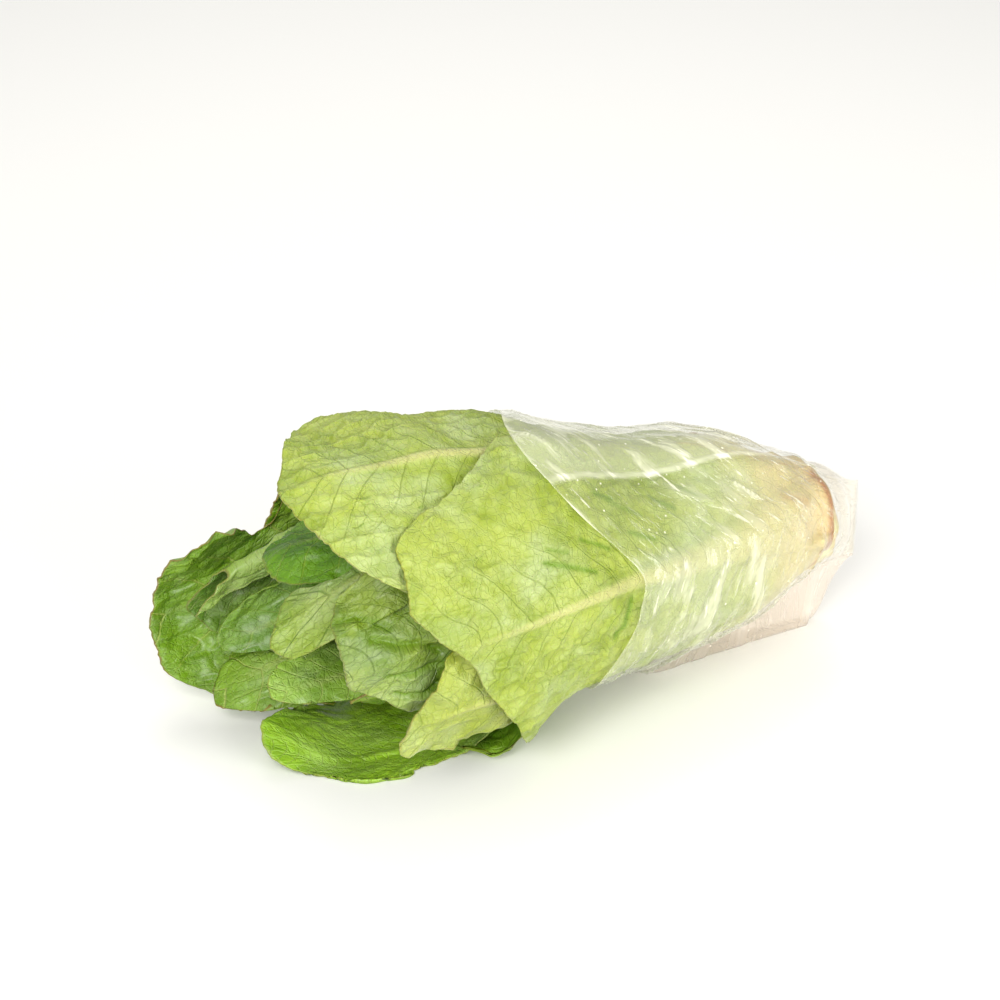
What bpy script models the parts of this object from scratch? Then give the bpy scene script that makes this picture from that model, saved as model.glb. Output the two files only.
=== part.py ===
"""Romaine lettuce head lying on its side in a clear film sleeve.

Every leaf, the cut stem and the sleeve is its own closed solid. Lengths are in millimetres and
angles in degrees until a mesh is made, which is in metres. The head runs along X: the cut stem is
at +X and the leaf tips point to -X. A place on the head is given by three numbers:
  s    distance from the cut face towards the tips,
  phi  angle round the head's own axis, 0 towards -Y and 90 straight up,
  r    distance from that axis.
The leaves are laid one over another in (s, phi, r), from the heart outwards, and placed in space
by one smooth mapping that rests the head on the ground.
"""

import math

import bpy
import numpy as np

MM = 0.001

# The head
CUT_X = 172.0            # x of the cut face of the stem
REACH = 292.0            # longest s that any leaf needs
BELLY_R = 69.5           # widest outer radius
GIRTH = ((-20, 22), (0, 25.5), (25, 34), (60, 43), (100, 49.5), (145, 63.5), (185, BELLY_R),
         (300, BELLY_R))  # (s, outer radius): narrow at the stem, nipped at the sleeve's mouth
LIFT = ((-20, 31), (0, 28.5), (25, 25.5), (55, 18.5), (80, 14.5), (105, 11.5), (130, 6.5), (160, 0),
        (300, 0))        # (s, how far the narrow end is held off the ground)
WAIST = ((60, 0), (80, 0), (105, 4), (130, 11.5), (148, 9.5), (163, 0), (180, 0))
# (s, how far the underside is drawn in where the sleeve's mouth grips the leaves)
WAIST_HALF, WAIST_FADE = 25.0, 50.0   # angle from straight down over which it is drawn in, and dies away
FLAT_DEPTH = 3.4         # how much the weight of the head flattens its underside
DROOP_FROM, DROOP_TO = 195.0, 275.0   # s over which the free tips sink together
DROOP_Y, DROOP_Z = 0.93, 0.64   # width and height kept where the tips have sunk
SWAY = 16.0              # sideways lean of the sunken tips

# The stem
STEM_R, STEM_LENGTH = 21.0, 104.0

# The film sleeve
FILM = 0.5               # thickness of the film
FILM_GAP = 0.6           # least clear space between the film and the leaves
FILM_SAG = 6.2           # how far the loose film sinks to lie flat on the ground
SAG_FADE = 12.0          # height above that over which the sinking dies away
MOUTH = ((-90, 128), (-50, 130), (-21, 132), (-8, 123), (4, 118), (20, 116), (30, 124), (44, 138),
         (60, 148), (74, 153), (85, 150), (103, 142), (180, 138), (270, 128))   # (phi, s) of the open end
TAIL = 20.0              # length of the flattened, closed end past the cut face
TAIL_HEIGHT, TAIL_HALF = 17.0, 0.7   # half its height and half its thickness
TAIL_DROP = 8.0          # how far its middle hangs below the axis
KEEL_HALF_ANGLE = 10.0   # half width of the loose fold that hangs under the narrow end
KEEL_START = -8.0        # where the fold begins
KEEL_RISE = 10.0         # over how much length it grows to its full depth
KEEL_END = 105.0         # s where that fold has died away
FILM_ROWS = 13
FILM_SIDE = (-90, -87, -82, -74, -62, -50, -40, -30, -20, -10, 0, 10, 20, 30, 40, 50, 60, 70, 80,
             90)         # phi of the lines along the film's near side

# Leaves
GAP = 0.6                # clear space between one leaf and the next
CLEAR = 0.4              # least of it, once the faces are made of flat facets
LOOSE = 0.5              # more of it among the free tips
PINCH = 0.05             # more of it for each millimetre that the waist is drawn in
BLADE = 0.9              # thickness of a leaf's blade
MARGIN = 0.6             # thickness at its edge
MOST_HALF_ANGLE = 140.0  # no leaf wraps further than this to either side
GOLDEN_ANGLE = 137.5
STRAIGHT_ACROSS = 90.0   # a leaf's usual half angle, to guess how far across it a place is
TUCK_FADE = 0.3          # share of the half width over which a tuck sets in
LOLL_BLEND = 0.24        # share of its length over which a lolling tip leaves the head
LOBE_THIN = 0.5          # how much of its thickness a leaf keeps where it lolls
ROW_STEP, COLUMN_STEP = 17.0, 13.0   # size of the facets along and across a leaf

# Base colour (linear), roughness and alpha
FINISHES = {
    "stem": ((0.83, 0.68, 0.40), 0.55, 1.0),
    "heart_leaf": ((0.72, 0.75, 0.22), 0.40, 1.0),
    "inner_leaf": ((0.032, 0.156, 0.007), 0.28, 1.0),
    "pale_leaf": ((0.30, 0.46, 0.045), 0.35, 1.0),
    "outer_leaf": ((0.47, 0.58, 0.14), 0.45, 1.0),
    "film": ((0.93, 0.93, 0.90), 0.15, 0.35),
}

# The lattice on which the leaves are laid
S_STEP, PHI_STEP = 3.0, 4.0
FINE = 7                 # points to a facet's side where it is tested against the lattice
SETTLE_PASSES = 12
S_LINE = np.arange(-6.0, REACH + S_STEP, S_STEP)
PHI_LINE = np.arange(0.0, 360.0, PHI_STEP)
S_GRID, PHI_GRID = np.meshgrid(S_LINE, PHI_LINE, indexing="ij")


def ease(t):
    """0 before 0, 1 after 1, and a smooth rise between."""
    t = np.clip(t, 0.0, 1.0)
    return t * t * (3 - 2 * t)


def curve(x, knots):
    """A smooth line through knots, which are (x, y) pairs, level outside them."""
    at, value = np.array(knots, dtype=float).T
    slope = np.gradient(value, at)
    i = np.clip(np.searchsorted(at, x, side="right") - 1, 0, len(at) - 2)
    span = at[i + 1] - at[i]
    t = np.clip((x - at[i]) / span, 0.0, 1.0)
    start, end = value[i], value[i + 1]
    return (start + (end - start) * ease(t)
            + span * t * (1 - t) * (slope[i] * (1 - t) - slope[i + 1] * t))


def envelope(s):
    """Outer radius of the head at s."""
    return curve(s, GIRTH)


def lift_at(s):
    """How far the head is held off the ground at s."""
    return curve(s, LIFT)


def waist_at(s, phi):
    """The share of the radius that is left where the sleeve's mouth draws the underside in."""
    away = np.abs(angle_from(phi, 270.0))
    return 1 - curve(s, WAIST) * (1 - ease((away - WAIST_HALF) / WAIST_FADE)) / envelope(s)


def to_space(s, phi, r, limp=1.0):
    """Points in space, on a new last axis, for places (s, phi, r) on the head.

    limp is 1 where the tips sink together and 0 on the stiff outer leaves.
    """
    sink = limp * ease((s - DROOP_FROM) / (DROOP_TO - DROOP_FROM))
    wide = 1 + (DROOP_Y - 1) * sink
    high = 1 + (DROOP_Z - 1) * sink
    below = np.cos(np.radians(phi + 90))
    flat = (1 - FLAT_DEPTH / BELLY_R) / np.clip(below, 0.2, 1.0)
    r = r / (1 + np.clip(1 / flat - 1, 0.0, None) * (below > 0)) * waist_at(s, phi)
    lift = envelope(s) * high * (1 - FLAT_DEPTH / BELLY_R) + lift_at(s)
    x = CUT_X - s
    y = SWAY * sink - wide * r * np.cos(np.radians(phi))
    z = lift + high * r * np.sin(np.radians(phi))
    return np.stack([x, y, z], axis=-1)


def soft_floor(height):
    """Heights pressed flat where they would sink below the ground, rounded over a few millimetres."""
    soft = 2.5
    pressed = soft * np.log1p(np.exp(np.minimum(height, 6 * soft) / soft))
    return np.where(height > 6 * soft, height, pressed)


def angle_from(phi, centre):
    """Signed angle from centre to phi, between -180 and 180."""
    return (phi - centre + 180.0) % 360.0 - 180.0


def blur(field, passes):
    """The lattice field smoothed; phi goes round, and the ends of s are held."""
    for _ in range(passes):
        along = np.concatenate([field[:1], field, field[-1:]])
        field = (along[:-2] + 2 * field + along[2:]) / 4
        field = (np.roll(field, 1, 1) + 2 * field + np.roll(field, -1, 1)) / 4
    return field


def sample(field, s, phi):
    """The lattice field read between its points."""
    i = np.clip((s - S_LINE[0]) / S_STEP, 0, len(S_LINE) - 1.001)
    j = (phi % 360.0) / PHI_STEP
    i0, j0 = i.astype(int), j.astype(int) % len(PHI_LINE)
    fi, fj = i - i0, j - np.floor(j)
    j1 = (j0 + 1) % len(PHI_LINE)
    near = field[i0, j0] * (1 - fj) + field[i0, j1] * fj
    far = field[i0 + 1, j0] * (1 - fj) + field[i0 + 1, j1] * fj
    return near * (1 - fi) + far * fi


def facet_points(s, phi, r):
    """(s, phi, r) of points all over the flat facets between a grid of places, FINE to a side."""
    turn = np.radians(phi)
    flat = np.stack([s, r * np.cos(turn), r * np.sin(turn)], axis=-1)
    rows, columns = s.shape
    i, j = np.arange((rows - 1) * FINE + 1) / FINE, np.arange((columns - 1) * FINE + 1) / FINE
    i0, j0 = np.minimum(i.astype(int), rows - 2), np.minimum(j.astype(int), columns - 2)
    x, y = (i - i0)[:, None, None], (j - j0)[None, :, None]
    a, b = flat[i0][:, j0], flat[i0 + 1][:, j0]
    c, d = flat[i0 + 1][:, j0 + 1], flat[i0][:, j0 + 1]
    at = np.where(x >= y, a + x * (b - a) + y * (c - b), a + y * (d - a) + x * (c - d))
    return at[..., 0], np.degrees(np.arctan2(at[..., 2], at[..., 1])), np.hypot(at[..., 1], at[..., 2])


def stem_radius(s):
    """The stem tapers from the cut to a blunt point among the heart leaves."""
    t = np.clip(s / STEM_LENGTH, 0.0, 1.0)
    return STEM_R * (1 - t ** 1.6) ** 0.7 * (1 - 0.35 * t)


def leaf(name, angle, root, tip, half_width, layer, **more):
    """One leaf's numbers. layer is its place from the axis, 0, to the outside, 1.

    reach lists the s of its tip edge at even steps across it, low phi first. high and low are
    each side's share of the half width, and tuck (side, s, length, depth) draws one side in.
    """
    numbers = dict(drift=0.0, rib=1.0, wave=1.6, waves=5.0, phase=0.0, lift=0.0, bow=0.24,
                   foot=0.30, widest=0.70, close=0.25, limp=1.0, lobe=None, clear=CLEAR,
                   high=1.0, low=1.0, tuck=None, finish="inner_leaf")
    numbers.update(more)
    if "reach" not in numbers:
        drop = numbers["bow"] * (tip - root)
        numbers["reach"] = [tip - drop * abs(v) ** 2.2 for v in np.linspace(-1, 1, 5)]
    return dict(name=name, angle=angle, root=root, tip=tip, half_width=half_width,
                layer=layer, **numbers)


def heart_leaves():
    """The hidden leaves round the growing point, each a golden angle from the last."""
    count = 10
    found = []
    for i in range(count):
        share = i / (count - 1)
        found.append(leaf(f"heart_leaf_{i + 1:02d}", (40 + GOLDEN_ANGLE * i) % 360,
                          root=78 - 36 * share, tip=178 + 28 * share,
                          half_width=24 + 20 * share, layer=0.10 + 0.30 * share,
                          rib=0.5 + 0.25 * share, wave=1.8, waves=4.0 + share,
                          phase=2.4 * i, clear=2.4 * CLEAR, finish="heart_leaf"))
    return found


# From the inside outwards
LEAVES = heart_leaves() + [
    leaf("centre_leaf_far", 202, 38, 255, 32, 0.50, phase=0.7, high=0.8,
         reach=(240, 252, 255, 246, 212)),
    leaf("centre_leaf_low", 262, 36, 178, 34, 0.30, phase=1.9, rib=0.5, clear=3 * CLEAR),
    leaf("centre_leaf_near", 318, 34, 226, 36, 0.50, phase=3.1),
    leaf("crown_leaf", 96, 32, 243, 38, 0.60, phase=2.1, rib=0.6,
         reach=(232, 240, 244, 244, 241, 236, 228)),
    leaf("folded_leaf", 165, 30, 257, 44, 0.66, phase=4.0, close=0.1,
         reach=(228, 242, 252, 261, 260, 254, 246)),
    leaf("low_leaf_near", 258, 26, 246, 34, 0.46, phase=0.2, rib=0.4, bow=0.14, high=0.48,
         lobe=(0.86, (-74, 9, 28), (-0.5, -0.5, 0.9), 30), clear=1.0 * CLEAR),
    leaf("low_leaf_far", 222, 28, 262, 38, 0.60, phase=5.2, rib=0.6, bow=0.16,
         lobe=(0.86, (-85, 44, 12), (-0.5, -0.4, 0.9), 26), clear=8.0 * CLEAR),
    leaf("near_leaf_tip", 53, 24, 258, 24, 0.68, phase=0.4, close=0.1,
         reach=(253, 256, 257, 255, 252, 249, 244), finish="pale_leaf"),
    leaf("near_leaf", 12, 24, 243, 50, 0.75, phase=1.4, reach=(204, 219, 231, 237, 239, 239, 232),
         finish="pale_leaf"),
    leaf("far_leaf", 187, 20, 272, 66, 0.88, phase=2.2, widest=0.95, close=0.08,
         tuck=(-1, 224, 15, 0.62), reach=(251, 263, 269, 272, 272, 268, 250), clear=4.0 * CLEAR),
    leaf("floor_leaf", 282, 18, 247, 45, 0.84, phase=3.6, rib=0.6, bow=0.2,
         tuck=(1, 182, 28, 0.55), lobe=(0.72, (-80, 10, 8), (0.0, -0.2, 1.0), 40),
         clear=3.2 * CLEAR),
    leaf("back_leaf", 142, 16, 220, 58, 0.90, phase=5.0, reach=(171, 205, 214, 217, 219, 221, 219)),
    leaf("side_leaf", 345, 14, 221, 31, 0.90, phase=0.9, close=0.1,
         reach=(186, 215, 222, 220, 214, 209, 206), finish="pale_leaf", clear=5.5 * CLEAR),
    leaf("outer_leaf_under", 250, 12, 202, 66, 0.935, phase=4.4, rib=0.7, wave=0.6, limp=0,
         clear=4.3 * CLEAR),
    leaf("outer_leaf_back", 168, 11, 206, 64, 0.95, phase=1.1, wave=1.0, limp=0,
         clear=3 * CLEAR, finish="outer_leaf"),
    leaf("outer_leaf_top", 75, 9, 252, 78, 0.965, phase=2.9, wave=0.9, limp=0, lift=1.5,
         reach=(210, 232, 243, 248, 252, 244, 237, 228, 212), finish="outer_leaf"),
    leaf("outer_leaf_front", 25, 7, 221, 106, 0.985, phase=0.5, wave=0.8, drift=-15, limp=0,
         high=0.70,
         reach=(152, 164, 172, 179, 188, 195, 204, 213, 218, 221, 221, 218, 203),
         finish="outer_leaf"),
]


def half_width_at(one, u):
    """Half the blade's width at u, before the end is rounded: a stalk that spreads into a blade."""
    spread = one["foot"] + (1 - one["foot"]) * ease(u / one["widest"])
    return one["half_width"] * spread * (1 - one["close"] * ease((u - 0.7) / 0.3))


def centre_angle(one, s):
    u = np.clip((s - one["root"]) / (one["tip"] - one["root"]), 0.0, 1.0)
    return one["angle"] + one["drift"] * u


def half_angle(one, s, u, v):
    """Half the angle that the leaf covers round the head, on the side of v."""
    radius = np.maximum(one["layer"] * envelope(s), stem_radius(s) + 2)
    half = np.minimum(np.degrees(half_width_at(one, u) / radius), MOST_HALF_ANGLE)
    half = half * np.where(v > 0, one["high"], one["low"])
    if one["tuck"]:
        side, at, length, depth = one["tuck"]
        half = half * (1 - depth * np.exp(-((s - at) / length) ** 2) * ease(side * v / TUCK_FADE))
    return half


def rib_height(one, u, across):
    """How far the midrib stands out of the blade, across millimetres from its middle line."""
    tall = 6.0 * one["rib"] * (1 - u) ** 1.25 + 0.3
    half = 15.0 * one["rib"] * (1 - u) ** 1.1 + 1.6
    return tall * np.clip(1 - (across / half) ** 2, 0.0, 1.0) ** 0.8


def thickness(one, u, v, across):
    edge = ease((1 - np.abs(v)) / 0.25)
    return MARGIN + (BLADE - MARGIN) * edge + rib_height(one, u, across)


def lay(one, beneath):
    """The radius of the leaf's inner face over the whole lattice, laid on what is beneath it."""
    u, v = leaf_place(one, S_GRID, PHI_GRID)
    u = np.clip(u, 0.0, 1.0)
    free = one["layer"] * envelope(S_GRID)
    margin = ease((np.abs(v) - 0.35) / 0.65)
    ripple = one["wave"] * margin * ease((u - 0.3) / 0.4)
    free = free + ripple * np.sin(2 * math.pi * one["waves"] * u + one["phase"] + 0.9 * np.sign(v))
    free = free + one["lift"] * ease((u - 0.7) / 0.3)
    rest = beneath + GAP
    face = rest + (np.maximum(free, rest) - rest) * ease(u / 0.22)
    face = blur(face, 3)
    return np.maximum(face, beneath + GAP)


def settle(s, phi, r, beneath, least):
    """Radii r raised until the flat facets between them clear what is beneath by the least gap."""
    for _ in range(SETTLE_PASSES):
        fine_s, fine_phi, fine_r = facet_points(s, phi, r)
        clear = least + LOOSE * ease((fine_s - DROOP_FROM + 10) / 20) + PINCH * curve(fine_s, WAIST)
        short = np.clip(sample(beneath, fine_s, fine_phi) + clear - fine_r, 0.0, None)
        around = np.pad(short, FINE)
        windows = np.lib.stride_tricks.sliding_window_view(around, (2 * FINE + 1, 2 * FINE + 1))
        r = r + 0.7 * windows[::FINE, ::FINE].max(axis=(2, 3))
    return r


def cover(s, phi, r, beneath):
    """What is beneath the next leaf, once this one's outer face (s, phi, r) is there."""
    fine_s, fine_phi, fine_r = facet_points(s, phi, r)
    i = np.clip((fine_s - S_LINE[0]) / S_STEP, 0, len(S_LINE) - 1.001).astype(int)
    j = (fine_phi % 360.0 / PHI_STEP).astype(int)
    covered = beneath.copy()
    for di, dj in ((0, 0), (0, 1), (1, 0), (1, 1)):
        np.maximum.at(covered, (i + di, (j + dj) % len(PHI_LINE)), fine_r)
    return covered


def reach_at(one, v):
    """The s that the leaf's tip edge has, v of the way from its middle line to a margin."""
    across = np.linspace(-1, 1, len(one["reach"]))
    return curve(v, tuple(zip(across, one["reach"])))


def leaf_plan(one, u, v):
    """(s, phi) of places u along and v across the leaf."""
    s = one["root"] + (reach_at(one, v) - one["root"]) * u
    phi = centre_angle(one, s) + v * half_angle(one, s, u, v)
    return s, phi


def leaf_place(one, s, phi):
    """(u, v) of places on the head: near enough the other way about for laying the leaf."""
    guess = np.clip((s - one["root"]) / (one["tip"] - one["root"]), 0.0, 1.0)
    off = angle_from(phi, centre_angle(one, s))
    v = off / half_angle(one, s, guess, off / STRAIGHT_ACROSS)
    edge = reach_at(one, np.clip(v, -1.0, 1.0))
    return (s - one["root"]) / (edge - one["root"]), v


def lolled(points, along, reach, lobe):
    """A leaf whose tip has left the head: it lolls over to a place of its own, rounded on top.

    lobe is (share of length where it leaves, place of its tip, its upward way, radius across it).
    along is each point's share of the leaf's length, and reach its distance across the leaf from
    the middle line.
    """
    start, target, upward, radius = lobe
    middle = points.shape[1] // 2
    line = points[:, middle]
    base = int(start * (len(line) - 1))
    tangent = line[base] - line[base - 1]
    tangent /= np.linalg.norm(tangent)
    span = np.linalg.norm(np.array(target) - line[base])
    turn = line[base] + 0.5 * span * tangent
    t = np.clip((along - along[base, middle]) / (1 - along[base, middle]), 0.0, 1.0)[..., None]
    spine = (1 - t) ** 2 * line[base] + 2 * t * (1 - t) * turn + t ** 2 * np.array(target)
    way = (1 - t) * (turn - line[base]) + t * (np.array(target) - turn)
    way /= np.linalg.norm(way, axis=-1, keepdims=True)
    up = np.array(upward) - way * (way @ np.array(upward))[..., None]
    up /= np.linalg.norm(up, axis=-1, keepdims=True)
    side = np.cross(way, up)
    side *= np.sign((points[base, -1] - points[base, 0]) @ side[base, middle])
    theta = (reach / radius)[..., None]
    sheet = spine + side * radius * np.sin(theta) - up * radius * (1 - np.cos(theta))
    share = ease((along - along[base, middle]) / LOLL_BLEND)[..., None]
    return points + (sheet - points) * share


def grid_normals(points):
    """Unit normals of a grid of points, pointing out of the head."""
    along = np.gradient(points, axis=0)
    across = np.gradient(points, axis=1)
    normal = np.cross(across, along)
    return normal / np.linalg.norm(normal, axis=-1, keepdims=True)


def leaf_grid(one):
    """(u, v) lines of a leaf's mesh, closer together where its midrib is."""
    rows = math.ceil((one["tip"] - one["root"]) / ROW_STEP) + 1
    half = max(4, math.ceil(one["half_width"] / COLUMN_STEP))
    side = np.linspace(0, 1, half + 1) ** 1.25
    return np.linspace(0, 1, rows), np.concatenate([-side[:0:-1], side])


def leaf_faces(one, beneath):
    """The leaf's inner and outer faces, as two grids of points, and what is then beneath the next."""
    u, v = np.meshgrid(*leaf_grid(one), indexing="ij")
    s, phi = leaf_plan(one, u, v)
    r = settle(s, phi, sample(lay(one, beneath), s, phi), beneath, one["clear"])
    off = np.radians(angle_from(phi, centre_angle(one, s))) * r
    outside = r + thickness(one, u, v, off)
    inner = to_space(s, phi, r, one["limp"])
    outer = to_space(s, phi, outside, one["limp"])
    still = int(one["lobe"][0] * (len(u) - 1)) + 2 if one["lobe"] else len(u)
    beneath = cover(s[:still], phi[:still], outside[:still], beneath)
    offset = outer - inner
    depth = np.linalg.norm(offset, axis=-1, keepdims=True)
    outer[..., 2] = np.maximum(outer[..., 2], 0.0)
    if one["lobe"]:
        along = (s - one["root"]) / (one["tip"] - one["root"])
        inner = lolled(inner, along, off, one["lobe"])
        loose = ease((along - one["lobe"][0]) / LOLL_BLEND)[..., None]
        ground = depth[..., 0] + 0.3
        resting = ground + soft_floor(inner[..., 2] - ground)
        inner[..., 2] += (resting - inner[..., 2]) * np.minimum(4 * loose[..., 0], 1.0)
        outer = inner + offset * (1 - loose) + grid_normals(inner) * depth * loose * LOBE_THIN
        outer[..., 2] = np.where(loose[..., 0] > 0, np.maximum(outer[..., 2], 0.3), outer[..., 2])
    return inner, outer, beneath


def stock_mesh(name, points, facets):
    mesh = bpy.data.meshes.new(name)
    mesh.from_pydata((points * MM).tolist(), [], facets)
    mesh.update()
    mesh.shade_smooth()
    return mesh


def grid_facets(index, turned):
    """Two triangles between each two neighbouring rows and columns of a grid of point numbers."""
    a, b = index[:-1, :-1].ravel(), index[1:, :-1].ravel()
    c, d = index[1:, 1:].ravel(), index[:-1, 1:].ravel()
    facets = np.concatenate([np.stack([a, b, c], axis=1), np.stack([a, c, d], axis=1)])
    return (facets[:, ::-1] if turned else facets).tolist()


def slab_mesh(name, inner, outer):
    """A closed thin solid between two grids of the same shape."""
    rows, columns = inner.shape[:2]
    count = rows * columns
    index = np.arange(count).reshape(rows, columns)
    facets = grid_facets(index, False) + grid_facets(index + count, True)
    rim = np.concatenate([index[0, :-1], index[:-1, -1], index[-1, :0:-1], index[:0:-1, 0]])
    for a, b in zip(rim, np.roll(rim, -1)):
        facets.append((int(a), int(b), int(b + count), int(a + count)))
    points = np.concatenate([inner.reshape(-1, 3), outer.reshape(-1, 3)])
    return stock_mesh(name, points, facets)


def stem_mesh(name):
    """The cut stem: a flat cut face with a worn edge, tapering to a point among the heart leaves."""
    s_at = np.array([0.0, 1.2, 14.0, 30.0, 48.0, 66.0, 82.0, 94.0, 101.0])
    r_at = stem_radius(s_at) - np.where(s_at == 0.0, 1.2, 0.0)
    phi_at = np.arange(0.0, 360.0, 18.0)
    s, phi = np.meshgrid(s_at, phi_at, indexing="ij")
    rings = to_space(s, phi, np.broadcast_to(r_at[:, None], s.shape), 0.0)
    tip = to_space(np.array([STEM_LENGTH]), np.array([0.0]), np.array([0.0]), 0.0)
    rows, columns = s.shape
    index = np.arange(rows * columns).reshape(rows, columns)
    index = np.concatenate([index, index[:, :1]], axis=1)
    facets = grid_facets(index, True)
    facets.append(index[0, -1:0:-1].tolist())
    facets += [(int(a), int(b), rows * columns) for a, b in zip(index[-1, :-1], index[-1, 1:])]
    return stock_mesh(name, np.concatenate([rings.reshape(-1, 3), tip]), facets)


def sagged(height):
    """Heights of the loose film once it lies flat on the ground."""
    above = height - FILM_SAG
    return np.where(above < 0, 0.0, height - FILM_SAG * (1 - ease(above / SAG_FADE)))


def film_rings(beneath):
    """Rings of the film's inner and outer faces, from its open mouth to its closed end."""
    side = np.array(FILM_SIDE, dtype=float)
    phi_at = np.concatenate([side, 180 - side[-2:0:-1]])
    s = curve(phi_at, MOUTH) * np.linspace(1, 0, FILM_ROWS)[:, None]
    phi = np.broadcast_to(phi_at, s.shape)
    looped = [np.concatenate([line, line[:, :1]], axis=1) for line in (s, phi)]
    wrap = np.maximum(blur(beneath, 4), beneath) + FILM_GAP
    r = settle(*looped, sample(wrap, *looped), beneath, FILM_GAP)
    r[:, 0] = r[:, -1] = np.maximum(r[:, 0], r[:, -1])
    r = r[:, :-1]
    ground = envelope(s) + lift_at(s) / (1 - FLAT_DEPTH / BELLY_R) - 0.6
    away = angle_from(phi, 270.0) / KEEL_HALF_ANGLE
    fold = np.exp(-away ** 2) * np.clip((s - KEEL_START) / KEEL_RISE, 0.0, 1.0) * ease((KEEL_END - s) / 35)
    r = r + np.clip(ground - r, 0.0, None) * fold
    turn = np.radians(phi_at)
    middle = to_space(np.zeros(1), np.zeros(1), np.zeros(1), 0.0)[0]
    both = []
    for depth in (0.0, FILM):
        wrapped = to_space(s, phi, r + depth * (1 + fold), 0.0)
        rim = wrapped[-1] - middle
        half_thick, half_high = TAIL_HALF + depth, TAIL_HEIGHT + depth
        flat = np.stack([0 * turn, -half_thick * np.cos(turn),
                         half_high * np.sin(turn) - TAIL_DROP], axis=-1)
        tail = []
        for share in (0.2, 0.4, 0.6, 0.8, 1.0):
            ring = middle + rim + (flat - rim) * ease(share)
            ring[:, 0] = CUT_X + (TAIL + 2 * depth) * share
            tail.append(ring)
        both.append(np.concatenate([wrapped, tail]))
    inside, outside = both
    drop = outside[..., 2] - sagged(outside[..., 2])
    inside[..., 2] -= drop
    outside[..., 2] -= drop
    return inside, outside


def film_mesh(name, beneath):
    """The sleeve: one thin skin, open at its mouth, pressed flat and closed at its other end."""
    inside, outside = film_rings(beneath)
    rows, columns = outside.shape[:2]
    count = rows * columns
    index = np.arange(count).reshape(rows, columns)
    looped = np.concatenate([index, index[:, :1]], axis=1)
    facets = grid_facets(looped, False) + grid_facets(looped + count, True)
    facets += grid_facets(np.stack([looped[0], looped[0] + count]), True)
    half = columns // 2
    for last, turned in ((index[-1], False), (index[-1] + count, True)):
        pairs = np.stack([last[:half + 1], np.roll(last[::-1], 1)[:half + 1]])
        facets += [facet for facet in grid_facets(pairs, turned) if len(set(facet)) == 3]
    points = np.concatenate([outside.reshape(-1, 3), inside.reshape(-1, 3)])
    return stock_mesh(name, points, facets)


def finish_of(name):
    """The Principled material of one of the FINISHES."""
    colour, roughness, alpha = FINISHES[name]
    material = bpy.data.materials.new(name)
    material.use_nodes = True
    shader = material.node_tree.nodes["Principled BSDF"]
    shader.inputs["Base Color"].default_value = (*colour, 1.0)
    shader.inputs["Roughness"].default_value = roughness
    shader.inputs["Metallic"].default_value = 0.0
    shader.inputs["Alpha"].default_value = alpha
    return material


def place(name, mesh, material, head):
    node = bpy.data.objects.new(name, mesh)
    bpy.context.scene.collection.objects.link(node)
    node.data.materials.append(material)
    node.parent = head
    return node


def centre_of(nodes):
    """The middle, in x and y, of the box round all the nodes."""
    corners = np.array([vertex.co[:2] for node in nodes for vertex in node.data.vertices])
    return (corners.min(axis=0) + corners.max(axis=0)) / 2


def main():
    for old in list(bpy.data.objects):
        bpy.data.objects.remove(old)
    materials = {name: finish_of(name) for name in FINISHES}
    head = bpy.data.objects.new("head", None)
    bpy.context.scene.collection.objects.link(head)
    beneath = np.broadcast_to(stem_radius(S_GRID), S_GRID.shape).copy()
    nodes = [place("cut_stem", stem_mesh("cut_stem"), materials["stem"], head)]
    for one in LEAVES:
        inner, outer, beneath = leaf_faces(one, beneath)
        mesh = slab_mesh(one["name"], inner, outer)
        nodes.append(place(one["name"], mesh, materials[one["finish"]], head))
    film = film_mesh("film_sleeve", beneath)
    nodes.append(place("film_sleeve", film, materials["film"], head))
    x, y = centre_of(nodes)
    head.location = (-x, -y, 0.0)


if __name__ == "__main__":
    main()
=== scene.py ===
import math
import bpy
import numpy as np
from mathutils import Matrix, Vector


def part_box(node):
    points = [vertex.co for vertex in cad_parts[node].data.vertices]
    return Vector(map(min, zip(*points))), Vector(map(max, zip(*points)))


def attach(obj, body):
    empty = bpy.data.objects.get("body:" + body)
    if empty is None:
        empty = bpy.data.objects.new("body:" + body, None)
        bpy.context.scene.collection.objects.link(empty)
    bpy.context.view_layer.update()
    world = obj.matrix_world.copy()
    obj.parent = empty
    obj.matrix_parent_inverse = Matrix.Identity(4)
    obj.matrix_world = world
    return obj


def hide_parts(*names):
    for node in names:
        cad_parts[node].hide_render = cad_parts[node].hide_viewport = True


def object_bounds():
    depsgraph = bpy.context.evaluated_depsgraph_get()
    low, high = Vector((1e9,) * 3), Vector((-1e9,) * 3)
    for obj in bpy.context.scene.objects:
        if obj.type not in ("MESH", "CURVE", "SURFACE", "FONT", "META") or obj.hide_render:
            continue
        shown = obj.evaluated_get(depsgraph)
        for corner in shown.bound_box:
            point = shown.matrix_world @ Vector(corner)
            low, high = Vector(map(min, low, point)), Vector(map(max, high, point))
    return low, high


# A cut head of romaine lettuce in a loose clear sleeve. Every piece is worked out in the head's own
# measures, in millimetres and degrees: s is the distance from the cut face towards the leaf tips,
# phi the angle round the head (0 towards -Y, 90 up) and r the distance from its axis. The leaves are
# laid one over another from the heart outwards and only then placed in space.

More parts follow.
